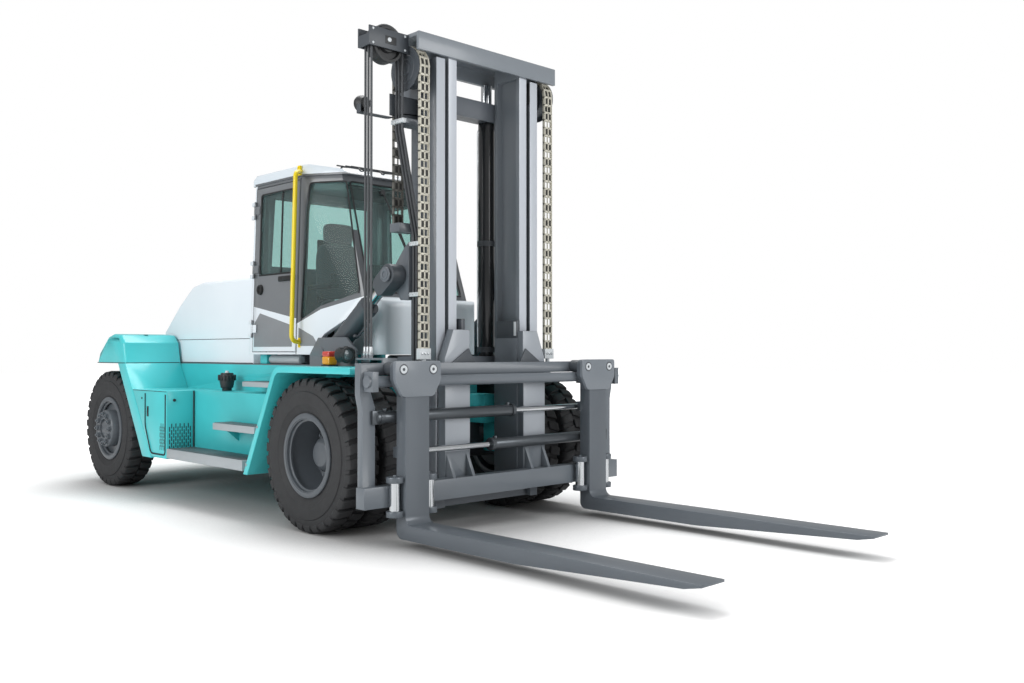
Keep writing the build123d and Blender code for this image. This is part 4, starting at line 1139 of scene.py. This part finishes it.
    def _side_lamp(self) -> None:
        """Add the work lamp on its bracket beside the right upright."""
        form = Form()
        form.block((450, 458), (-842, -562), (3284, 3456), bevel=2)
        arm = rounded([(402, -562, 3330), (402, -720, 3318), (402, -810, 3274), (402, -1118, 3270)],
                      40)
        form.plate([*arm, *[(x, y, z - 9) for x, y, z in reversed(arm)]], (56, 0, 0))
        form.block((404, 456), (-1122, -1112), (3262, 3330), bevel=3)
        form.piece("mast lamp bracket", FRAME_DARK, "mast")
        lamp = Form()
        lamp.lathe(self.lamp_case, self.lamp, X_AXIS, steps=32)
        lamp.block((404, 448), (-1082, -1042), (3268, 3300), bevel=4)
        lamp.piece("mast work lamp", BLACK_PLASTIC, "mast")
        lens = Form()
        lens.lathe(self.lamp_lens, self.lamp, X_AXIS, steps=32)
        lens.piece("mast work lamp lens", CLEAR_LENS, "mast")


@dataclass
class Carriage(Assembly):
    """Fork carriage, fork hangers, rollers and positioner cylinders."""

    nodes = {"carriage_frame": (MAST_GREY, 6), "chain_anchors": (SIGN_BLANK, 3),
             "positioner_barrels": (BARREL_GREY, 3), "fork_{}": (FORK_GREY, 7),
             "fork_{}_rollers": (CHROME, 0)}
    fork_y: float = 1005.0
    hanger_x: float = 1012.5
    plate_proud: float = 12.0
    # outlines as y and z, the hanger's y from the fork's middle
    hanger: Outline = ((-212, 1358), (-212, 1212), (-146, 1096), (146, 1096), (212, 1212),
                       (212, 1358))
    upper_highlight_face: Outline = ((302, 1344), (558, 1344), (558, 1370), (468, 1598), (302, 1598))
    lower_highlight_face: Outline = ((302, 642), (558, 642), (558, 1246), (302, 1246))
    gusset: Outline = ((250, 1336), (500, 1336), (320, 1452))
    pin_z: float = 1296.0
    pin_offset: float = 138.0
    roller_x: float = 947.0
    roller_offset: float = 160.0
    yoke_radius: float = 62.5
    yoke_z: Sequence[Span] = ((226.0, 270.0), (474.0, 518.0))
    positioner_x: float = 845.0
    positioner_z: Span = (946.0, 680.0)
    face_x: float = 797.0
    web: Box = ((474.0, 728.0), (291.0, 329.0), (1520.0, 1690.0))
    blank: Box = ((692.0, 720.0), (289.0, 293.0), (1560.0, 1678.0))
    anchor: Span = (700.0, 695.0)
    # profiles as distance along the axis and radius
    pin_ring: Outline = ((0, 12), (0, 31), (6, 29), (6, 20), (3, 18), (3, 12))
    gland: Outline = ((96, 46), (96, 52), (126, 52), (130, 48), (130, 25), (122, 25), (122, 46))
    end_ring: Outline = ((-1240, 46), (-1240, 51), (-1205, 51), (-1205, 46))

    def build(self) -> None:
        """Add the fittings of carriage and forks."""
        self._hangers()
        self._anchors()
        self._positioners()
        self._faces()

    def _hangers(self) -> None:
        """Add the forks' hanger plates with their pins, and the caps of their rollers."""
        body, x, z = "fork_arm_{}", self.hanger_x, self.pin_z
        front = x + self.plate_proud
        plate = Form()
        corners = [(x - 20, self.fork_y + dy, h) for dy, h in self.hanger]
        plate.plate(rounded([*corners, *corners[:2]], 26)[1:-1], (20 + self.plate_proud, 0, 0),
                    bevel=3)
        plate.pair("fork {} hanger plate", HANGER_GREY, body)
        pins, rings = Form(), Form()
        for y in (self.fork_y - self.pin_offset, self.fork_y + self.pin_offset):
            rings.lathe(self.pin_ring, (front, y, z), X_AXIS, steps=32)
            pins.drum((front - 4, y, z), (front + 2, y, z), 40, bevel=2)
            pins.drum((x - 175, y, z + 4), (x - 58, y, z + 4), 52, bevel=8)
            pins.drum((front, y, z), (front + 4, y, z), 11, sides=16)
        rings.pair("fork {} hanger pin rings", SIGN_BLANK, body)
        pins.pair("fork {} hanger rollers", FRAME_DARK, body)
        caps = Form()
        for y in (self.fork_y - self.roller_offset, self.fork_y + self.roller_offset):
            for low, high in self.yoke_z:
                caps.drum((self.roller_x, y, low), (self.roller_x, y, high), self.yoke_radius,
                          sides=40, bevel=4)
            caps.bolt((self.roller_x, y, self.yoke_z[1][1]), Z_AXIS, 24, 12)
        caps.pair("fork {} roller caps", FORK_GREY, body)

    def _anchors(self) -> None:
        """Add nuts and links at the chain anchors."""
        form = Form()
        x, y = self.anchor
        form.bolt((x, y, 1300), Z_AXIS, 52, 26)
        form.bolt((x, y, 1262), (0, 0, -1), 52, 30)
        for dy in (-30, 0, 30):
            form.drum((x + 22, y + dy, 1410), (x + 32, y + dy, 1410), 11, sides=16, bevel=2)
        form.piece("chain anchor nuts", ZINC, "carriage", both=True)

    def _positioners(self) -> None:
        """Add glands and hose ports of the fork positioner cylinders, which point to each side."""
        form = Form()
        x = self.positioner_x
        for z, sign in zip(self.positioner_z, (1, -1)):
            for profile in (self.gland, self.end_ring):
                form.lathe(profile, (x, 0, z), (0, sign, 0), steps=36)
            for along in (70, -1180):
                y = sign * along
                form.drum((x, y, z + 40), (x, y, z + 64), 17, sides=16, bevel=2)
        form.piece("positioner glands", BARREL_GREY, "carriage")

    def _faces(self) -> None:
        """Add the uprights' front faces, pale as a painted highlight, their gussets, dark as painted
        shade, and the dark inner side plates.
        """
        faces, dark, blanks = Form(), Form(), Form()
        # the pale front faces are a painted highlight
        for outline, x in ((self.upper_highlight_face, self.face_x - 5), (self.lower_highlight_face, self.face_x)):
            faces.plate([(x - 2, y, z) for y, z in outline], (4, 0, 0), bevel=1.5)
        # the gussets are dark grey as painted shade
        dark.plate([(self.face_x, y, z) for y, z in self.gusset], (12, 0, 0), bevel=2)
        dark.block(*self.web, bevel=5)
        blanks.block(*self.blank, bevel=1)
        faces.piece("carriage upright faces", FLANGE_HIGHLIGHT_GREY, "carriage", both=True)
        dark.piece("carriage side plates and gussets", FRAME_DARK, "carriage", both=True)
        blanks.piece("carriage blank plates", SIGN_BLANK, "carriage", both=True)


@dataclass
class Body(Assembly):
    """Counterweight, hood, fenders, equipment boxes and steps."""

    nodes = {"main_frame": (TURQUOISE_FRAME, 5), "counterweight": (TURQUOISE, 14),
             "rear_fenders": (TURQUOISE, 8), "front_fenders": (TURQUOISE, 5),
             "equipment_boxes": (TURQUOISE, 7), "hood": (HOOD_WHITE, 6),
             "battery_pack": (FRAME_DARK, 10), "filler_cap": (BLACK_PLASTIC, 6),
             "step_treads": (STEP_EDGE, 4), "drive_axle": (CAST_DARK, 6),
             "steer_axle": (CAST_DARK, 6), "steer_knuckle_{}": (CAST_DARK, 5)}
    box_y: float = 1345.0
    box_front_x: float = -2370.0
    door: Outline = ((-2838, 1015), (-2838, 700), (-2705, 436), (-2394, 436), (-2394, 1015))
    vent_slot: Span = (9.0, 46.0)
    vent_pitch: Span = (21.0, 60.0)
    vent_z: float = 480.0
    vent_rows: int = 4
    side_vents: tuple[float, int] = (-2512.0, 5)        # first x and columns
    front_vents: tuple[float, int] = (1100.0, 11)       # first y and columns
    fender_gaps: Sequence[Box] = (
        ((-4030, -3330), (1343, 1346.5), (1306, 1314)),
        ((-3323, -3319), (760, 1340), (1306, 1314)),
        ((-3132, -2374), (1342, 1346.5), (1038, 1044)),
    )
    hood_gaps: Sequence[Box] = (
        ((-3690, -1860), (718, 721.5), (1549, 1555)),
        ((-3690, -1860), (-722, -718.5), (1549, 1555)),
        ((-3760, -1860), (718, 723), (1306, 1318)),
        ((-3760, -1860), (-722, -717), (1306, 1318)),
        ((-3772, -3768), (-700, 700), (1549, 1555)),
    )
    grips: Sequence[Box] = (
        ((-2350, -955), (1075, 1330), (498, 504)),
        ((-1630, -910), (1070, 1238), (778, 784)),
        ((-1550, -830), (765, 990), (1148, 1154)),
    )
    filler: Span = (-2030.0, -900.0)

    def build(self) -> None:
        """Add seams, vents, latches and grips to the body panels."""
        self._box_doors()
        self._vents()
        self._seams()
        self._steps()
        self._small_fittings()

    def _box_doors(self) -> None:
        """Add the dark door seal, the latch and the knob of each equipment box."""
        seal, latch = Form(), Form()
        y, front = self.box_y + 1, self.box_front_x
        seal.pipe(rounded([(x, y, z) for x, z in self.door], 44), 8, sides=8)
        seal.pipe([(front + 2, 1070, 470), (front + 2, 1070, 1045)], 7, sides=8)
        latch.block((-2800, -2764), (y - 4, y + 4), (790, 890), bevel=3)
        latch.block((-2791, -2773), (y - 8, y + 8), (822, 872), bevel=3)
        latch.drum((front, 1270, 960), (front + 16, 1270, 960), 14, bevel=3)
        latch.drum((-2917, y - 4, 965), (-2917, y + 3, 965), 11, sides=16, bevel=1)
        seal.piece("equipment box door seals", SEAM_DARK, "chassis", both=True)
        latch.piece("equipment box latches", BLACK_PLASTIC, "chassis", both=True)

    def _vents(self) -> None:
        """Add the staggered slots of the air vents on the boxes' sides and fronts."""
        form = Form()
        width, height = self.vent_slot
        step, rise = self.vent_pitch
        side_face = (self.box_y - 2, self.box_y + 2)
        front_face = (self.box_front_x - 2, self.box_front_x + 2)
        for on_side, (first, columns) in ((True, self.side_vents), (False, self.front_vents)):
            for column in range(columns):
                start = first + column * step
                low = self.vent_z + rise / 2 * (column % 2)
                across, up = (start, start + width), (low, low + height)
                where = (across, side_face, up) if on_side else (front_face, across, up)
                form.repeat(form.block(*where, bevel=1), self.vent_rows, (0, 0, rise))
        form.piece("equipment box vent slots", SEAM_DARK, "chassis", both=True)

    def _seams(self) -> None:
        """Add the panel gaps of the hood and the rear fenders, and the fenders' plugs."""
        form = Form()
        for gap in self.fender_gaps:
            form.block(*gap, bevel=1)
        form.drum((-3480, 1060, 1600), (-3480, 1060, 1604), 24, sides=24, bevel=1)
        form.mirror()
        for gap in self.hood_gaps:
            form.block(*gap, bevel=1)
        form.piece("panel gaps", SEAM_DARK, "chassis")

    def _steps(self) -> None:
        """Add the perforated grips on the steps and the brackets below them."""
        grips, stays = Form(), Form()
        for grip in self.grips:
            grips.block(*grip, bevel=1.5)
        grips.piece("step grips", STEP_GRIP, "chassis", both=True)
        for x in (-1520, -1080):
            stays.plate([(x, 1058, 722), (x, 1190, 722), (x, 1058, 610)], (16, 0, 0), bevel=2)
        stays.piece("step brackets", TURQUOISE, "chassis", both=True)

    def _small_fittings(self) -> None:
        """Add the pipes under the cab, the filler cap's nub and ribs, and the fender bolts."""
        pipes, nub, ribs, bolts = Form(), Form(), Form(), Form()
        pipes.drum((-1560, 690, 1352), (-1040, 690, 1352), 40, bevel=14)
        pipes.piece("pipes under cab", STEP_EDGE, "chassis", both=True)
        x, y = self.filler
        nub.drum((x, y, 1220), (x, y, 1243), 22, end_radius=15, sides=20, bevel=4)
        nub.piece("filler cap nub", SIGN_BLANK, "chassis")
        rib = ribs.block((x + 72, x + 85), (y - 6, y + 6), (1150, 1204), bevel=3)
        ribs.ring(rib, 16, (x, y, 1150), Z_AXIS)
        ribs.piece("filler cap ribs", BLACK_PLASTIC, "chassis")
        for x, z in ((-860, 470), (-680, 800)):
            bolts.bolt((x, self.box_y - 3, z), Y_AXIS, 20, 9)
        bolts.piece("fender bolts", ZINC, "chassis", both=True)


@dataclass
class Cab(Assembly):
    """Operator's cab: shell, doors, glass, seat and outside fittings."""

    nodes = {"cab_shell": (CAB_WHITE, 6), "cab_nose": (NOSE_WHITE, 0), "cab_glass": (GLASS, 0),
             "cab_roof": (ROOF_WHITE, 8), "cab_mounts": (TURQUOISE, 6),
             "steering_console": (BLACK_PLASTIC, 4), "handrails": (RAIL_YELLOW, 0),
             "front_lamps": (BLACK_PLASTIC, 4), "door_{}": (DOOR_GREY, 4),
             "door_{}_glass": (GLASS, 0)}
    side_low: float = 800.0
    side_high: float = 752.0
    floor_z: float = 1400.0
    top_z: float = 2995.0
    glass_low: Point = (-240.0, 580.0, 1905.0)
    glass_high: Point = (-610.0, 560.0, 2995.0)
    pillar_x: float = -970.0
    rear_x: float = -1790.0
    rear_lean: float = 40.0
    door_x: Span = (-1640.0, -1050.0)
    door_z: Span = (2140.0, 2900.0)
    # outlines as x and z on the sides, y and z at front and rear
    quarter_pane: Outline = ((-900, 1710), (-285, 1935), (-560, 2930), (-880, 2930))
    screen: Outline = ((-520, 1940), (520, 1940), (490, 2935), (-490, 2935))
    rear_pane: Outline = ((-600, 2240), (600, 2240), (570, 2900), (-570, 2900))
    door_panel: Outline = ((-1705, 1470), (-1040, 1470), (-1040, 1660), (-1610, 1785),
                           (-1705, 1690))
    quarter_panel: Outline = ((-935, 1475), (-610, 1475), (-700, 1560), (-935, 1640))
    wiper_arm: Outline = ((-160, 2865), (-60, 2500), (-20, 2320))
    wiper_blade: Outline = ((-110, 2640), (-20, 2320), (40, 2080))
    handle_z: float = 2090.0
    lock: Span = (-1610.0, 2005.0)
    headlamp: Point = (-10.0, 906.0, 1400.0)
    # profiles as distance along the axis and radius
    lock_knob: Outline = ((0, 2), (8, 2), (10, 24), (20, 30), (20, 44), (0, 50))
    lamp_lens: Outline = ((0, 0.5), (9, 0.5), (6, 34), (0, 46))
    lamp_rim: Outline = ((-6, 46), (-6, 66), (10, 63), (12, 50), (4, 46))
    lever_knob: Outline = ((0, 4), (0, 15), (20, 20), (34, 14), (38, 4))
    seat_frame: Sequence[tuple[Box, float]] = (         # pedestal, pan and back, with the bevel
        (((-1420, -1080), (-200, 200), (1450, 1790)), 20),
        (((-1500, -970), (-235, 235), (1786, 1812)), 10),
        (((-1562, -1536), (-200, 200), (1900, 2520)), 12),
    )
    seat_pads: Sequence[tuple[str, Box]] = (
        ("seat cushion", ((-1490, -965), (-245, 245), (1812, 1925))),
        ("seat back cushion", ((-1538, -1425), (-245, 245), (1930, 2480))),
        ("seat headrest", ((-1535, -1440), (-160, 160), (2488, 2680))),
    )

    def build(self) -> None:
        """Add the cab's fittings."""
        self._window_seals()
        self._door_fittings()
        self._outside()
        self._lamps()
        self._inside()
        self._seat()

    def side_y(self, z: float) -> float:
        """Return the left side wall's y at a height."""
        share = (z - self.floor_z) / (self.top_z - self.floor_z)
        return self.side_low + (self.side_high - self.side_low) * share

    def outer_y(self, x: float, z: float) -> float:
        """Return the left outer surface's y, on the side wall or the front quarter.

        Args:
            x: The place's x.
            z: The place's height.

        Returns:
            The y of the outer surface.
        """
        origin = Vector((self.pillar_x, self.side_high, self.top_z))
        normal = (Vector(self.glass_low) - origin).cross(Vector(self.glass_high) - origin)
        slope = normal.x * (x - origin.x) + normal.z * (z - origin.z)
        return min(self.side_y(z), origin.y - slope / normal.y)

    def front_x(self, z: float) -> float:
        """Return the windscreen's x at a height."""
        share = (z - self.glass_low[2]) / (self.glass_high[2] - self.glass_low[2])
        return self.glass_low[0] + (self.glass_high[0] - self.glass_low[0]) * share

    def _window_seals(self) -> None:
        """Add the rubber beads round every pane."""
        fixed = Form()
        fixed.bead([(x, self.outer_y(x, z) - 2, z) for x, z in self.quarter_pane], 36, 8)
        fixed.mirror()
        (x0, x1), (z0, z1) = self.door_x, self.door_z
        middle = (x0 + x1) / 2 + 60
        moving = Form()
        corners = ((x0, z0), (x1, z0), (x1, z1), (x0, z1))
        moving.bead([(x, self.side_y(z) - 2, z) for x, z in corners], 30, 9)
        moving.pipe([(middle, self.side_y(z) - 14, z) for z in self.door_z], 9, sides=8)
        moving.pair("door {} window seal", SEAL_RUBBER, "cab_door_{}")
        fixed.bead([(self.front_x(z), y, z) for y, z in self.screen], 40, 8)
        lean = self.rear_lean / (self.top_z - self.floor_z)
        fixed.bead([(self.rear_x + lean * (z - self.floor_z), y, z) for y, z in self.rear_pane],
                   40, 8)
        fixed.piece("cab window seals", SEAL_RUBBER, "chassis")

    def _door_fittings(self) -> None:
        """Add handles, locks and inset panels to the doors, and the seam beside them."""
        grip, inset, panels, gap = Form(), Form(), Form(), Form()
        y, z = self.side_y(self.handle_z), self.handle_z
        grip.block((-1290, -1010), (y - 2, y + 14), (z - 24, z + 24), bevel=7, segments=3)
        grip.block((-1180, -1020), (y + 12, y + 34), (z - 16, z + 16), bevel=7, segments=3)
        x, z = self.lock
        grip.lathe(self.lock_knob, (x, self.side_y(z), z), Y_AXIS, steps=32)
        grip.pair("door {} handle and lock", HANDLE_BLACK, "cab_door_{}")
        inset.plate([(x, self.side_y(z) - 2, z) for x, z in self.door_panel], (0, 5, 0), bevel=2)
        inset.pair("door {} inset panel", GREY_PLASTIC, "cab_door_{}")
        panels.plate([(x, self.outer_y(x, z) - 2, z) for x, z in self.quarter_panel], (0, 5, 0),
                     bevel=2)
        gap.pipe([(-965, self.side_y(z), z) for z in (1405, 2200, 2980)], 5, sides=6)
        panels.piece("cab quarter inset panels", GREY_PLASTIC, "chassis", both=True)
        gap.piece("cab pillar gaps", SEAM_DARK, "chassis", both=True)

    def _outside(self) -> None:
        """Add the roof guard bars, the wiper and the handrails' feet."""
        bars = Form()
        for y in (-360, -120, 120, 360):
            route = [(-930, y, 3098), (-900, y, 3124), (-640, y, 3078), (-596, y, 3036)]
            bars.pipe(rounded(route, 26), 8, sides=10)
        for x, z in ((-880, 3124), (-740, 3100), (-650, 3084)):
            bars.pipe([(x, -430, z), (x, 430, z)], 7, sides=10)
        bars.piece("roof guard bars", BLACK_PLASTIC, "chassis")
        wiper = Form()
        x = self.front_x(2860)
        wiper.drum((x - 4, -160, 2860), (x + 30, -160, 2870), 26, sides=20, bevel=4)
        for route, away, radius in ((self.wiper_arm, 22, 9), (self.wiper_blade, 14, 8)):
            wiper.pipe([(self.front_x(z) + away, y, z) for y, z in route], radius, sides=8)
        wiper.piece("windscreen wiper", BLACK_PLASTIC, "chassis")
        feet = Form()
        for x, y, z in ((-925, 785, 1505), (-980, 760, 3045)):
            feet.block((x - 14, x + 30), (y - 8, y + 16), (z - 45, z + 45), bevel=5)
            for dz in (-28, 28):
                feet.bolt((x + 8, y + 16, z + dz), Y_AXIS, 16, 8)
        feet.piece("handrail feet", RAIL_YELLOW, "chassis", both=True)

    def _lamps(self) -> None:
        """Add the headlamp lenses and the red over amber marker lamps."""
        glass, rims = Form(), Form()
        x, y, z = self.headlamp
        glass.lathe(self.lamp_lens, self.headlamp, X_AXIS, steps=36)
        glass.piece("headlamp lenses", CLEAR_LENS, "chassis", both=True)
        rims.lathe(self.lamp_rim, self.headlamp, X_AXIS, steps=36)
        fin = rims.block((x - 60, x - 10), (y - 4, y + 4), (z + 58, z + 70), bevel=2)
        rims.ring(fin, 10, (x - 35, y, z), X_AXIS)
        rims.piece("headlamp rims", BLACK_PLASTIC, "chassis", both=True)
        lamp = ((-332, -228), (862, 950))
        layers = (
            # name, finish, replaced nodes, box, bevel and its facets
            ("bases", BLACK_PLASTIC, (), ((-334, -226), (858, 954), (1303, 1316)), 3, 2),
            ("amber lenses", AMBER, ["marker_lamps"], (*lamp, (1316, 1386)), 14, 3),
            ("red lenses", RED_LENS, (), (*lamp, (1382, 1428)), 14, 3),
        )
        for name, finish, replaces, box, bevel, segments in layers:
            form = Form()
            form.block(*box, bevel=bevel, segments=segments)
            form.piece(f"marker lamp {name}", finish, "chassis", replaces, both=True)

    def _inside(self) -> None:
        """Add the sun blind, armrests, levers, display and pedals."""
        blind, trim = Form(), Form()
        blind.drum((-660, -470, 2900), (-660, 470, 2900), 22, bevel=3)
        blind.plate([(-652, -455, 2900), (-652, 455, 2900), (-612, 455, 2780), (-612, -455, 2780)],
                    (-3, 0, -1))
        blind.piece("sun blind", BLACK_PLASTIC, "chassis")
        for y in ((-400, -300), (300, 400)):
            trim.block((-1420, -1010), y, (2010, 2060), bevel=16, segments=3)
        for y in (-370, -330):
            trim.drum((-1050, y, 2050), (-1040, y, 2130), 9, sides=14)
            trim.lathe(self.lever_knob, (-1040, y, 2120), Z_AXIS, steps=20)
        trim.block((-420, -395), (-420, -180), (2020, 2190), bevel=8)
        trim.drum((-405, -300, 1890), (-405, -300, 2030), 14, sides=16)
        for y in ((-220, -130), (90, 180)):
            trim.block((-560, -500), y, (1470, 1520), bevel=8)
        trim.piece("armrests levers and display", BLACK_PLASTIC, "chassis")

    def _seat(self) -> None:
        """Model the seat's cushions on a plain pedestal in place of the CAD seat."""
        shell = Form()
        for box, bevel in self.seat_frame:
            shell.block(*box, bevel=bevel)
        shell.piece("seat pedestal and back shell", BLACK_PLASTIC, "chassis")
        for name, box in self.seat_pads:
            form = Form()
            form.block(*box)
            bmesh.ops.subdivide_edges(form.bm, edges=form.bm.edges, cuts=5, use_grid_fill=True)
            middle = Vector([(a + b) / 2 for a, b in box])
            half = [abs(b - a) / 2 for a, b in box]
            for vert in form.bm.verts:
                # edges and corners are drawn in, so that the flat sides crown
                part = [(vert.co[i] - middle[i]) / half[i] for i in range(3)]
                crown = 1.0 - 0.1 * sum(sorted(abs(p) ** 4 for p in part)[:2])
                vert.co = middle + Vector([p * h * crown for p, h in zip(part, half)])
            replaces = ["operator_seat"] if name == "seat cushion" else []
            piece = form.piece(name, SEAT_CLOTH, "chassis", replaces, sharp_deg=180)
            smooth = piece.modifiers.new("soft form", "SUBSURF")
            smooth.levels = smooth.render_levels = 2


@dataclass
class Studio(Assembly):
    """Pale floor, soft light and the camera at the photograph's angle, in metres."""

    camera_place: Point = (7.23175, -5.5489, 1.4226)
    camera_tilt_deg: float = 90.607
    camera_turn_deg: float = 45.764
    lens_mm: float = 34.67
    sensor_mm: float = 36.0
    floor_half: float = 60.0
    floor_z: float = -0.001
    white_from: float = 4.5      # where the floor starts to fade to plain white, and ends
    white_to: float = 9.0
    floor_tone: float = 0.86
    seen_tone: float = 1.12      # over 1, so that the lit floor is plain white
    shade_reach: float = 1.8
    shade_low: float = 0.3
    sky_tone: float = 0.46
    lamp_target: Point = (0.0, 0.0, 1.2)
    lamps: Sequence[tuple[str, Point, float, float]] = (
        # name, place, size, power
        ("top light", (-2.0, 1.5, 10.0), 6.0, 700.0),
        ("side light", (1.0, -12.0, 5.0), 6.0, 750.0),
        ("front light", (12.0, 3.0, 5.0), 6.0, 580.0),
    )

    def build(self) -> None:
        """Make the floor, the light and the camera."""
        scene = bpy.context.scene
        scene.view_settings.view_transform = "Standard"
        self._floor()
        self._world()
        for name, place, size, power in self.lamps:
            data = bpy.data.lights.new(name, "AREA")
            data.size = size
            data.energy = power
            lamp = bpy.data.objects.new(name, data)
            lamp.location = place
            way = Vector(self.lamp_target) - Vector(place)
            lamp.rotation_euler = way.to_track_quat("-Z", "Y").to_euler()
            scene.collection.objects.link(lamp)
        data = bpy.data.cameras.new("photo camera")
        data.lens = self.lens_mm
        data.sensor_fit = "HORIZONTAL"
        data.sensor_width = self.sensor_mm
        data.clip_end = 300.0
        camera = bpy.data.objects.new("photo camera", data)
        camera.location = self.camera_place
        camera.rotation_euler = (math.radians(self.camera_tilt_deg), 0.0,
                                 math.radians(self.camera_turn_deg))
        scene.collection.objects.link(camera)
        scene.camera = camera

    def _floor(self) -> None:
        """Make the floor, lifted to white for the camera but keeping the shadow."""
        bm = bmesh.new()
        bmesh.ops.create_grid(bm, x_segments=1, y_segments=1, size=self.floor_half)
        mesh = bpy.data.meshes.new("studio floor")
        bm.to_mesh(mesh)
        bm.free()
        material = bpy.data.materials.new("white studio floor")
        material.use_nodes = True
        tree = material.node_tree
        tree.nodes.clear()
        camera_ray = add_node(tree, "LightPath", out="Is Camera Ray")
        place = add_node(tree, "TexCoord", out="Object")
        away = add_node(tree, "VectorMath", {}, {0: place}, "Value", operation="LENGTH")
        rise = add_node(tree, "MapRange", {"From Min": self.white_from, "From Max": self.white_to},
                        {"Value": away}, interpolation_type="SMOOTHSTEP")
        seen = add_node(tree, "Math", {}, {0: camera_ray, 1: rise}, operation="MULTIPLY")
        tone = add_node(tree, "MapRange", {"To Min": self.floor_tone, "To Max": self.seen_tone},
                        {"Value": camera_ray})
        # Ambient occlusion darkens the floor near and under the truck: painted shade on top of the
        # lamps' shadows.
        near = add_node(tree, "AmbientOcclusion", {"Distance": self.shade_reach}, out="AO",
                        samples=8)
        shade = add_node(tree, "MapRange", {"To Min": self.shade_low}, {"Value": near})
        shaded = add_node(tree, "Math", {}, {0: tone, 1: shade}, operation="MULTIPLY")
        matt = add_node(tree, "BsdfDiffuse", {}, {"Color": shaded})
        lift = add_node(tree, "Emission", {"Color": (1, 1, 1, 1)}, {"Strength": seen})
        total = add_node(tree, "AddShader", {}, {0: matt, 1: lift})
        add_node(tree, "OutputMaterial", {}, {"Surface": total})
        mesh.materials.append(material)
        floor = bpy.data.objects.new("studio floor", mesh)
        floor.location.z = self.floor_z
        bpy.context.scene.collection.objects.link(floor)

    def _world(self) -> None:
        """Make a soft white sky that the camera and glass see as plain white."""
        world = bpy.data.worlds.new("soft sky")
        world.use_nodes = True
        bpy.context.scene.world = world
        tree = world.node_tree
        tree.nodes.clear()
        rays = [add_node(tree, "LightPath", out=f"Is {kind} Ray")
                for kind in ("Camera", "Transmission")]
        seen = add_node(tree, "Math", {}, dict(enumerate(rays)), operation="MAXIMUM")
        strength = add_node(tree, "MapRange", {"To Min": self.sky_tone}, {"Value": seen})
        sky = add_node(tree, "Background", {"Color": (1, 1, 1, 1)}, {"Strength": strength})
        add_node(tree, "OutputWorld", {}, {"Surface": sky})


def main() -> None:
    """Dress and build every sub-assembly in order."""
    logging.basicConfig(level=logging.INFO, format="%(name)s: %(message)s")
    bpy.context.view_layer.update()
    for part in (Studio(), Body(), Cab(), Tyres(), Rims(), Mast(), LeafChains(), Hoses(),
                 Carriage()):
        LOG.info("building %s", type(part).__name__)
        part.dress()
        part.build()


if __name__ == "__main__":
    main()
